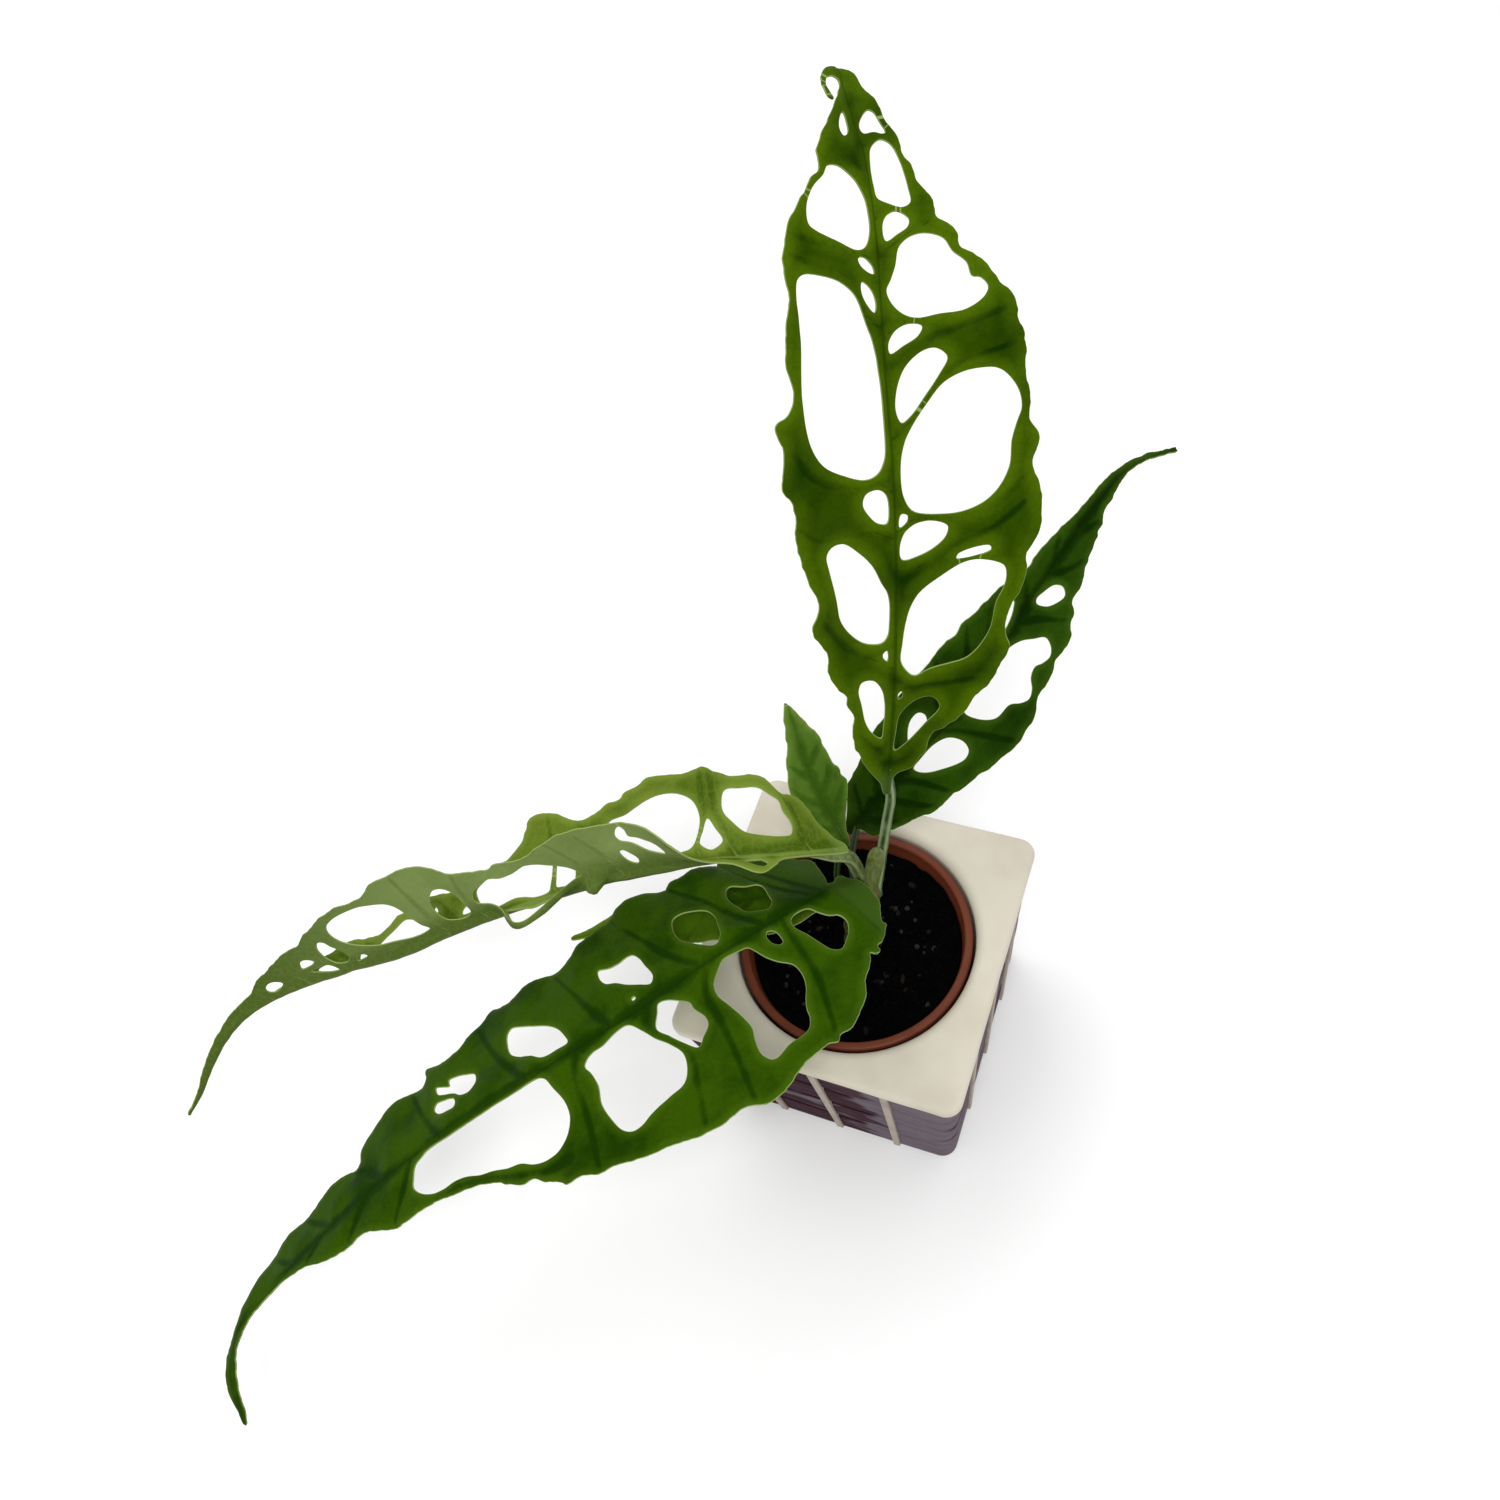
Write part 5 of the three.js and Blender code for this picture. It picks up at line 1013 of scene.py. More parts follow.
def speckle_group():
    """Small changes of tone and fine pits for a moulded or cast surface."""
    tree, given, result = new_group(
        "cast surface",
        [("Base", "NodeSocketColor", (0.5, 0.5, 0.5, 1)), ("Stain", "NodeSocketColor", (0.4, 0.4, 0.4, 1)),
         ("Stain Size", "NodeSocketFloat", 20.0), ("Amount", "NodeSocketFloat", 0.3),
         ("Place", "NodeSocketVector", None)],
        [("Color", "NodeSocketColor"), ("Mask", "NodeSocketFloat"), ("Height", "NodeSocketFloat")],
    )
    sized = calculate(tree, "vector divide", given["Place"], given["Stain Size"])
    cloud = lumps(tree, sized, 1, 4, 0.55)
    grain = lumps(tree, given["Place"], 0.8, 3, 0.6)
    mask = step_up(tree, cloud, 0.4, 0.72)
    amount = calculate(tree, "multiply", mask, given["Amount"])
    tree.links.new(mix(tree, amount, given["Base"], given["Stain"]), result["Color"])
    tree.links.new(mask, result["Mask"])
    cloud_part = calculate(tree, "multiply", cloud, 0.6)
    height = calculate(tree, "add", cloud_part, calculate(tree, "multiply", grain, 0.4))
    tree.links.new(height, result["Height"])
    return tree


def cast_material(name, speckle):
    """A moulded or cast finish, by its name."""
    finish = CAST_FINISHES[name]
    material, tree, shader = new_material(name)
    shader.inputs["Specular IOR Level"].default_value = finish["gloss"]
    values = {
        "Base": colour(*finish["base"]), "Stain": colour(*finish["stain"]),
        "Stain Size": finish["stain_size"], "Amount": finish["amount"],
    }
    surface = add_node(tree, "ShaderNodeGroup", node_tree=speckle)
    for label, value in values.items():
        surface.inputs[label].default_value = value
    tree.links.new(object_place(tree), surface.inputs["Place"])
    tree.links.new(surface.outputs["Color"], shader.inputs["Base Color"])
    low, high = finish["roughness"]
    tree.links.new(step_up(tree, surface.outputs["Mask"], 0.0, 1.0, low, high), shader.inputs["Roughness"])
    bump(tree, shader, surface.outputs["Height"], finish["relief"], 0.5)
    return material


def board_material():
    """Purple boards with patches of lilac, darker towards the left as painted shade from the leaves and so
    paler towards the right, with streaks along them and lighter lower edges.
    """
    material, tree, shader = new_material("washed boards")
    place = object_place(tree)
    along_board = calculate(tree, "vector multiply", place, (0.1, 0.1, 1))
    streak = lumps(tree, along_board, 1.6, 4, 0.6)
    longer = calculate(tree, "vector multiply", place, (0.5, 0.5, 1))
    patch = lumps(tree, longer, 16, 3, 0.6)
    tone = add_node(tree, "ShaderNodeAttribute", attribute_name="board").outputs["Fac"]
    sideways = add_node(tree, "ShaderNodeSeparateXYZ", {"Vector": place}).outputs["X"]
    # painted shade: the boards darken towards the left, where the leaves shade them, over random patches of
    # lilac tone
    patches_and_left_shade = calculate(tree, "add", patch, step_up(tree, sideways, 8.0, 22.0, -0.14, 0.1))
    skin = mix(tree, step_up(tree, patches_and_left_shade, 0.44, 0.56), colour(50, 23, 34), colour(104, 93, 102))
    skin = mix(tree, step_up(tree, streak, 0.5, 0.75, 0.0, 0.45), skin, colour(44, 22, 30))
    skin = mix(tree, step_up(tree, streak, 0.3, 0.46, 0.5, 0.0), skin, colour(92, 68, 82))
    skin = mix(tree, step_up(tree, tone, 0.4, 1.0, 0.0, 0.3), skin, colour(104, 84, 98))
    skin = mix(tree, step_up(tree, tone, -1.0, -0.1, 0.9, 0.0), skin, colour(38, 24, 32))
    tree.links.new(skin, shader.inputs["Base Color"])
    shader.inputs["IOR"].default_value = 1.15
    shader.inputs["Specular IOR Level"].default_value = 0.1
    tree.links.new(step_up(tree, streak, 0.3, 0.7, 0.45, 0.62), shader.inputs["Roughness"])
    bump(tree, shader, streak, 0.25, 0.6)
    return material


def soil_material(name, base, damp):
    material, tree, shader = new_material(name)
    place = object_place(tree)
    clods = lumps(tree, place, 3.5, 5, 0.65)
    grains = lumps(tree, place, 0.7, 4, 0.7)
    skin = mix(tree, step_up(tree, clods, 0.35, 0.7), colour(*damp), colour(*base))
    tree.links.new(skin, shader.inputs["Base Color"])
    shader.inputs["Specular IOR Level"].default_value = 0.03
    tree.links.new(step_up(tree, grains, 0.3, 0.7, 0.7, 0.95), shader.inputs["Roughness"])
    bump(tree, shader, grains, 0.7, 0.9)
    return material


def floor_material():
    material, _, shader = new_material("pale studio floor")
    shader.inputs["Base Color"].default_value = (0.93, 0.93, 0.93, 1)
    shader.inputs["Roughness"].default_value = 0.8
    return material


# Leaves.


class Leaf:
    """The curved sheet that a flat blade is laid on."""

    def __init__(self, shape):
        self.spine = shape["spine"]
        self.roll = shape["roll"]
        self.fold = shape["fold"]
        self.wave = shape["wave"]
        self.pouches = shape.get("pouches", [])
        margin = np.array(shape["margin"], float)
        self.reach = margin[:, 0].max()
        self.half_width = np.abs(margin[:, 1]).max()
        self.shares = np.linspace(0, 1, 401)
        points = open_curve(self.spine, self.shares)[0]
        self.lengths = np.r_[0, np.cumsum(np.linalg.norm(np.diff(points, axis=0), axis=1))]
        self.twist = shape.get("twist", [0, self.lengths[-1]])

    def frame(self, u):
        """Centre, direction to the right, upward normal and fold at places along the midrib."""
        inside = np.clip(u, 0, self.lengths[-1])
        centre, slope = open_curve(self.spine, np.interp(inside, self.lengths, self.shares))
        tangent = unit(slope)
        centre = centre + tangent * (u - inside)[:, None]
        up = unit(np.array([0, 0, 1]) - tangent * tangent[:, 2:])
        right = np.cross(tangent, up)
        turned_by = smoothstep(*self.twist, inside)
        tilt = np.radians(np.interp(turned_by, [0, 1], self.roll))[:, None]
        fold = np.radians(np.interp(turned_by, [0, 1], self.fold))
        return (
            centre,
            right * np.cos(tilt) + up * np.sin(tilt),
            up * np.cos(tilt) - right * np.sin(tilt),
            fold,
        )

    def pouch_depth(self, u, v):
        depth = np.zeros(len(u))
        for pouch in self.pouches:
            along_it = np.clip((u - pouch["place"]) / pouch["half_length"], -1, 1)
            across = (v / pouch["reach"]) ** 2
            bulge = pouch["depth"] * np.cos(along_it * math.pi / 2) ** 2 * across * np.exp(1 - across)
            depth += np.where(v * pouch["side"] > 0, bulge, 0)
        return depth

    def middle(self, u, v):
        """Points of the blade's middle surface, with a fold that is a little rounded."""
        centre, right, normal, fold = self.frame(u)
        side = np.sign(v)
        reach = np.sqrt(v**2 + FOLD_ROUNDING**2) - FOLD_ROUNDING
        depth, wave_length = self.wave
        ripple = np.sin(2 * math.pi * u / wave_length + side)
        wave = depth * (np.abs(v) / self.half_width) ** 2 * ripple
        pouch = self.pouch_depth(u, v)
        across = v * np.cos(fold) + side * pouch * np.sin(fold)
        rise = reach * np.sin(fold) - pouch * np.cos(fold) + wave
        return centre + right * across[:, None] + normal * rise[:, None]

    def normal(self, u, v, step=0.1):
        along_it = self.middle(u + step, v) - self.middle(u - step, v)
        across = self.middle(u, v + step) - self.middle(u, v - step)
        return unit(np.cross(across, along_it))


def inside_loops(points, loops):
    """Which flat points lie inside the outline and outside its holes."""
    start = np.vstack(loops)
    end = np.vstack([np.roll(loop, -1, axis=0) for loop in loops])
    odd = np.zeros(len(points), bool)
    for first in range(0, len(points), 2000):
        x, y = points[first:first + 2000, :1], points[first:first + 2000, 1:]
        crosses = (start[:, 1] > y) != (end[:, 1] > y)
        rise = np.where(end[:, 1] == start[:, 1], 1, end[:, 1] - start[:, 1])
        at = (end[:, 0] - start[:, 0]) * (y - start[:, 1]) / rise + start[:, 0]
        odd[first:first + 2000] = np.sum(crosses & (x < at), axis=1) % 2 == 1
    return odd


def nearest(points, samples):
    """How far each flat point is from the nearest sample, and which one that is."""
    tree = kdtree.KDTree(len(samples))
    for index, (x, y) in enumerate(samples):
        tree.insert((x, y, 0), index)
    tree.balance()
    found = [tree.find((x, y, 0)) for x, y in points]
    return np.array([distance for _, _, distance in found]), np.array([index for _, index, _ in found])


def blade_grid(loops):
    """Points inside a blade in staggered rows, clear of its edges."""
    low, high = loops[0].min(axis=0), loops[0].max(axis=0)
    row_height = POINT_SPACING * math.sqrt(3) / 2
    rows = []
    for row in range(math.floor(low[1] / row_height), math.ceil(high[1] / row_height) + 1):
        u = np.arange(low[0] + (row % 2) * POINT_SPACING / 2, high[0], POINT_SPACING)
        rows.append(np.stack([u, np.full(len(u), row * row_height)], axis=1))
    points = np.vstack(rows)
    points = points[inside_loops(points, loops)]
    edges = np.vstack(loops)
    return points[nearest(points, edges)[0] > POINT_SPACING * 0.6]


def ragged(loop):
    """A margin with fine uneven teeth, left smooth where the blade joins its petiole."""
    across = np.roll(loop, -1, axis=0) - np.roll(loop, 1, axis=0)
    outward = unit(np.c_[across[:, 1], -across[:, 0]])
    flat = np.c_[loop, np.zeros(len(loop))]
    teeth = 0.34 * rough(flat, 3.1, 5.0) + 0.16 * rough(flat, 1.3, 8.0)
    return loop + outward * (teeth * smoothstep(3, 14, np.hypot(*loop.T)))[:, None]


def blade_sheet(shape):
    """A flat blade cut into small triangles: its points, its triangles and its edge points."""
    loops = [closed_curve(loop, EDGE_SPACING) for loop in [shape["margin"], *shape["holes"]]]
    loops[0] = ragged(loops[0])
    points = np.vstack([*loops, blade_grid(loops)])
    edges = []
    first = 0
    for loop in loops:
        count = len(loop)
        edges += [(first + i, first + (i + 1) % count) for i in range(count)]
        first += count
    found = delaunay_2d_cdt([Vector(p) for p in points.tolist()], edges, [], 0, 1e-5)
    points = np.array([list(p) for p in found[0]])
    triangles = np.array(found[2])
    triangles = triangles[inside_loops(points[triangles].mean(axis=1), loops)]
    used, triangles = np.unique(triangles, return_inverse=True)
    return points[used], triangles.reshape(-1, 3), np.vstack(loops)


def vein_samples(name, shape):
    """Flat points along the midrib and the veins, with the vein's half width at each."""
    tip = max(u for u, v in shape["margin"])
    midrib = along([[-6, 0], [tip / 2, 0], [tip, 0]], 0.3)
    samples = [midrib]
    widths = [np.interp(midrib[:, 0], [0, tip], [0.8, 0.3])]
    for vein in VEINS[name]:
        line = along(vein, 0.3)
        samples.append(line)
        widths.append(np.linspace(0.4, 0.18, len(line)))
    return np.vstack(samples), np.concatenate(widths)


def border_edges(triangles):
    """Directed edges that belong to one triangle alone."""
    edges = {(a, b) for t in triangles.tolist() for a, b in ((t[0], t[1]), (t[1], t[2]), (t[2], t[0]))}
    return [edge for edge in edges if edge[::-1] not in edges]


def thin_points(triangles, on_edge):
    """Edge points in a bridge so thin that no inner point lies beside them."""
    beside_inner = np.zeros(len(on_edge), bool)
    mixed = triangles[~on_edge[triangles].all(axis=1)]
    beside_inner[mixed.ravel()] = True
    return on_edge & ~beside_inner


def blade(name, shape, look, leaf):
    """The blade as a thin closed body with sunken veins, a swollen surface between them, a rib below
    and edges that curl down a little."""
    flat, triangles, edges = blade_sheet(shape)
    u, v = flat.T
    edge, _ = nearest(flat, edges)
    thin = thin_points(triangles, edge < 1e-4)
    samples, half_widths = vein_samples(name, shape)
    vein_distance, vein_index = nearest(flat, samples)
    vein = np.clip(vein_distance / half_widths[vein_index], 0, 12)

    started = smoothstep(2, 26, u)
    swell = look["quilt"] * (1 - np.exp(-(vein_distance / 4.5) ** 2)) * started
    groove = VEIN_GROOVE * np.exp(-0.7 * vein**2) * smoothstep(-2, 8, u)
    curl = EDGE_CURL * np.exp(-edge / 1.4) * started
    level = np.c_[flat, np.zeros(len(flat))]
    crumple = sum(depth * rough(level, size, look["quilt"]) for depth, size in CRUMPLES) * started
    sink = BASE_SINK * (1 - smoothstep(-6, -1, u)) * (1 - smoothstep(0.8, 2, np.abs(v)))
    relief = swell - groove - curl + crumple - sink

    half = BLADE_THICKNESS / 2 * (0.6 + 0.4 * smoothstep(0, 1.5, edge))
    rib_at = np.interp(u, [0, leaf.reach], RIB_DEPTH)
    rib = rib_at * (1 - smoothstep(0, RIB_HALF_WIDTH, np.abs(v)))
    middle = leaf.middle(u, v)
    normal = leaf.normal(u, v)
    top = middle + normal * (relief + half)[:, None]
    bottom = middle + normal * (relief - half - rib)[:, None]

    count = len(flat)
    border = border_edges(triangles)
    faces = [tuple(t) for t in triangles] + [(a + count, c + count, b + count) for a, b, c in triangles]
    faces += [(b, a, a + count, b + count) for a, b in border]
    points = np.vstack([top, bottom])
    wall_halves = [(face[0], face[2], face[3]) for face in faces if len(face) == 4]
    if not faces_out(points, [face[:3] for face in faces] + wall_halves):
        faces = [face[::-1] for face in faces]
    sharp = border + [(a + count, b + count) for a, b in border]
    attributes = {
        "edge": np.tile(np.where(thin, BRIDGE_EDGE, edge), 2),
        "vein": np.r_[vein, vein],
        "underside": np.r_[np.zeros(count), np.ones(count)],
        "base": np.tile(1 - smoothstep(-3, 4, u), 2),
    }
    return points, faces, attributes, np.vstack([flat, flat]), sharp


def petiole(shape, leaf, radii):
    """The grooved stalk, which runs on under the midrib and tapers away there."""
    base, top = radii
    groove_angle, groove_width = math.pi * 1.5, 0.42
    ridge_angle, ridge_width = 0.72, 0.2  # on each side of the groove

    def under(place, depth):
        centre, _, normal, _ = leaf.frame(np.array([place], float))
        return (centre - normal * depth)[0].tolist()

    run_out = PETIOLE["run_out"]
    path = [
        *shape["petiole"], under(0, top * 1.05), under(run_out / 2, top * 0.7),
        under(run_out, BLADE_THICKNESS * 1.3),
    ]
    sample = open_curve(path, np.linspace(0, 1, 200))[0]
    taper = 1 - run_out / np.linalg.norm(np.diff(sample, axis=0), axis=1).sum()

    def radius_at(shares):
        places = [0, 0.4, taper, (taper + 1) / 2, 1]
        return np.interp(shares, places, [base, (base + top) / 2, top, top * 0.5, PETIOLE["tip_radius"]])

    def section(angles):
        turn = np.abs(angles - groove_angle)
        groove = PETIOLE["groove"] * np.exp(-(turn / groove_width) ** 2)
        ridge = PETIOLE["ridge"] * np.exp(-((turn - ridge_angle) / ridge_width) ** 2)
        return 1 - groove + ridge

    rings, angles, _ = swept(path, radius_at, PETIOLE["sides"], PETIOLE["step"], section)
    points, faces = loft(rings)
    ridge_distance = np.abs(np.abs(angles - groove_angle) - ridge_angle)
    edge = np.r_[np.tile(ridge_distance, len(rings)), 1, 1]
    return points, faces, edge


def make_leaf(name, skin):
    shape, look = LEAVES[name], LOOKS[name]
    plain_name = name.replace("_", " ")
    leaf = Leaf(shape)
    points, faces, attributes, flat, sharp = blade(name, shape, look, leaf)
    stalk_points, stalk_faces, stalk_edge = petiole(shape, leaf, look["stalk_radius"])
    count, added = len(points), len(stalk_points)
    attributes["edge"] = np.r_[attributes["edge"], stalk_edge]
    attributes["vein"] = np.r_[attributes["vein"], np.full(added, 12)]
    attributes["underside"] = np.r_[attributes["underside"], np.zeros(added)]
    attributes["base"] = np.r_[attributes["base"], np.ones(added)]
    return make_piece(
        name + "_fine",
        np.vstack([points, stalk_points]),
        faces + [tuple(i + count for i in face) for face in stalk_faces],
        [leaf_material(plain_name, look, skin, leaf.reach),
         stalk_material(plain_name + " stalk", look["stalk"], look["ridge"])],
        replaced=[name],
        attributes=attributes,
        flat=np.vstack([flat, np.zeros((added, 2))]),
        face_materials=[0] * len(faces) + [1] * len(stalk_faces),
        sharp=sharp,
    )


# The stem and the shoot.


def make_stem(stalk):
    """The short stem, with a ring for each old leaf."""
    ring_height, ring_width = 0.45, 0.9

    def radius_at(shares):
        radius = np.interp(shares, np.linspace(0, 1, len(STEM["radii"])), STEM["radii"])
        height = open_curve(STEM["path"], shares)[0][:, 2]
        for node in STEM["nodes"]:
            radius = radius + ring_height * np.exp(-((height - node) / ring_width) ** 2)
        return radius

    rings, _, _ = swept(STEM["path"], radius_at, 40, 0.6)
    points, faces = loft(rings)
    points = points * (1 + 0.01 * rough(points, 2.5)[:, None] * np.array([1, 1, 0]))
    edge = np.full(len(points), 1.0)
    for node in STEM["nodes"]:
        edge = np.minimum(edge, np.abs(points[:, 2] - node) * 0.5)
    return make_piece("stem_fine", points, faces, [stalk], replaced=["stem"],
                      attributes={"edge": edge})


def make_shoot(stalk):
    """The next leaf, still rolled, with the free edge of the roll as a seam along it."""
    dome_start = 0.8
    seam_angle = math.pi * 1.2

    def radius_at(shares):
        places = np.linspace(0, 1, len(SHOOT["radii"]))
        radius = open_curve(np.c_[places, SHOOT["radii"]], shares)[0][:, 1]
        dome = np.clip(1 - ((shares - dome_start) / (1 - dome_start)) ** 2, 0, 1) ** 0.7
        return np.where(shares > dome_start, SHOOT["radii"][-2] * dome, radius).clip(0.03)

    def section(angles):
        seam = (angles - seam_angle) % (2 * math.pi)
        return 0.99 + 0.03 * smoothstep(0, 0.3, seam) * (1 - seam / (2 * math.pi))

    rings, angles, _ = swept(SHOOT["path"], radius_at, 48, 0.15, section)
    points, faces = loft(rings)
    seam = np.abs((angles - seam_angle + math.pi) % (2 * math.pi) - math.pi)
    edge = np.r_[np.tile(seam * 3, len(rings)), 1, 1]
    return make_piece("new_shoot_fine", points, faces, [stalk], replaced=["new_shoot"],
                      attributes={"edge": edge})


# The planter.


def rounded_square(half, radius, directions):
    """How far a square with rounded corners reaches in each direction."""
    d = np.abs(directions)
    flat = half / d.max(axis=1)
    corner = half - radius
    inward = d.sum(axis=1) * corner
    round_reach = inward + np.sqrt(np.maximum(inward**2 - (2 * corner**2 - radius**2), 0))
    in_corner = (d * flat[:, None]).min(axis=1) > corner
    return np.where(in_corner, round_reach, flat)


def slat_half(z):
    low, high = PLANTER["bottom_side"], PLANTER["top_side"]
    return np.interp(z, [0, PLANTER["height"]], [low, high]) / 2 - PLANTER["slab_overhang"]


def slat_profile():
    """Heights and half sizes up the boarded sides, with each board a little crowned and a groove below
    it, and how far each height lies up its board: below 0 in the groove, 1 at its lower edge."""
    slab_bottom = PLANTER["height"] - PLANTER["slab_thickness"]
    pitch = slab_bottom / PLANTER["slats"]
    half_groove = PLANTER["groove_height"] / 2
    heights = np.arange(0, slab_bottom, 0.5)
    profile = []
    for z in heights:
        up = z % pitch
        to_groove = min(up, pitch - up) if z > pitch / 2 else pitch - up
        if z > slab_bottom - pitch / 2:
            to_groove = up
        depth = PLANTER["groove_depth"] * (1 - smoothstep(half_groove * 0.5, half_groove * 1.5, to_groove))
        crown = 0.35 * math.sin(math.pi * up / pitch)
        foot = PLANTER["soft_edge"] * (1 - smoothstep(0, PLANTER["soft_edge"], z))
        lower_edge = 1 - smoothstep(half_groove, half_groove * 2.6, up if z > pitch / 2 else pitch)
        tone = -1.0 if to_groove < half_groove * 0.8 else lower_edge
        profile.append((z, slat_half(z) - depth + crown * 0.5 - foot, tone))
    return profile


def planter_rings():
    """Rings up the boarded sides, over the slab, across its top and down into the well."""
    count = 480
    angles = np.linspace(0, 2 * math.pi, count, endpoint=False)
    directions = np.stack([np.cos(angles), np.sin(angles)], axis=1)
    height, radius, soft = PLANTER["height"], PLANTER["corner_radius"], PLANTER["soft_edge"]
    slab_bottom = height - PLANTER["slab_thickness"]
    top_half = PLANTER["top_side"] / 2
    rings, tones = [], []

    def add(reach, z, tone=0.0):
        rings.append(np.c_[directions * np.reshape(reach, (-1, 1)), np.full(count, z)])
        tones.append(tone)

    for z, half, tone in slat_profile():
        add(rounded_square(half, radius, directions), z, tone)
    boards = len(rings)
    add(rounded_square(slat_half(slab_bottom), radius, directions), slab_bottom)
    under_edge, shadow_gap = 0.8, 0.3
    for share in np.linspace(0, 1, 5):
        turn = share * math.pi / 2
        half = top_half - under_edge + under_edge * math.sin(turn)
        rise = shadow_gap + under_edge * (1 - math.cos(turn))
        add(rounded_square(half, radius, directions), slab_bottom + rise)
    for share in np.linspace(0, 1, 8):
        turn = share * math.pi / 2
        half = top_half - soft * (1 - math.cos(turn))
        add(rounded_square(half, radius, directions), height - soft + soft * math.sin(turn))
    outer = rounded_square(top_half - soft, radius, directions)
    lip = PLANTER["lip_radius"]
    inner = PLANTER["hole_radius"] + lip
    for share in np.linspace(0, 1, 10)[1:]:
        add(outer + (inner - outer) * share, height)
    for share in np.linspace(0, 1, 10)[1:]:
        turn = share * math.pi / 2
        reach = PLANTER["hole_radius"] + lip * (1 - math.sin(turn))
        add(np.full(count, reach), height - lip * (1 - math.cos(turn)))
    add(np.full(count, PLANTER["well_bottom_radius"]), PLANTER["floor"])
    return rings, tones, boards


def make_planter(cream, boards):
    rings, tones, board_rings = planter_rings()
    points, faces = loft(rings)
    count = len(rings[0])
    unevenness = 0.12 * rough(points, 14)
    outward = points * np.array([1, 1, 0]) / 40
    points = points + outward * unevenness[:, None] * (points[:, 2:] > 0.5)
    tone = np.r_[np.repeat(tones, count), 0, 0]
    side_faces = (board_rings - 1) * count
    return make_piece(
        "planter_fine", points, faces, [cream, boards], replaced=["planter"],
        attributes={"board": tone},
        face_materials=[1] * side_faces + [0] * (len(faces) - side_faces),
    )


def geometry_group(name, inputs):
    """A Geometry Nodes group that takes a mesh and named sizes, and gives a mesh."""
    sockets = [("Geometry", "NodeSocketGeometry", None)] + [(n, "NodeSocketFloat", v) for n, v in inputs]
    return new_group(name, sockets, [("Geometry", "NodeSocketGeometry")], "GeometryNodeTree")


def grown(name, base, tree, values):
    """The mesh that a Geometry Nodes group makes of a base mesh, as a plain mesh."""
    helper = bpy.data.objects.new(name + "_helper", base)
    bpy.context.scene.collection.objects.link(helper)
    modifier = helper.modifiers.new(name, "NODES")
    modifier.node_group = tree
    for item in tree.interface.items_tree:
        if item.item_type == "SOCKET" and item.in_out == "INPUT" and item.name in values:
            modifier[item.identifier] = values[item.name]
    evaluated = helper.evaluated_get(bpy.context.evaluated_depsgraph_get())
    mesh = bpy.data.meshes.new_from_object(evaluated)
    helper.modifiers.remove(modifier)
    bpy.data.objects.remove(helper)
    mesh.name = name
    mesh.polygons.foreach_set("use_smooth", np.ones(len(mesh.polygons), bool))
    return mesh


def finish_mesh(name, mesh, body="root"):
    piece = bpy.data.objects.new(name, mesh)
    bpy.context.scene.collection.objects.link(piece)
    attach(piece, body)
    return piece


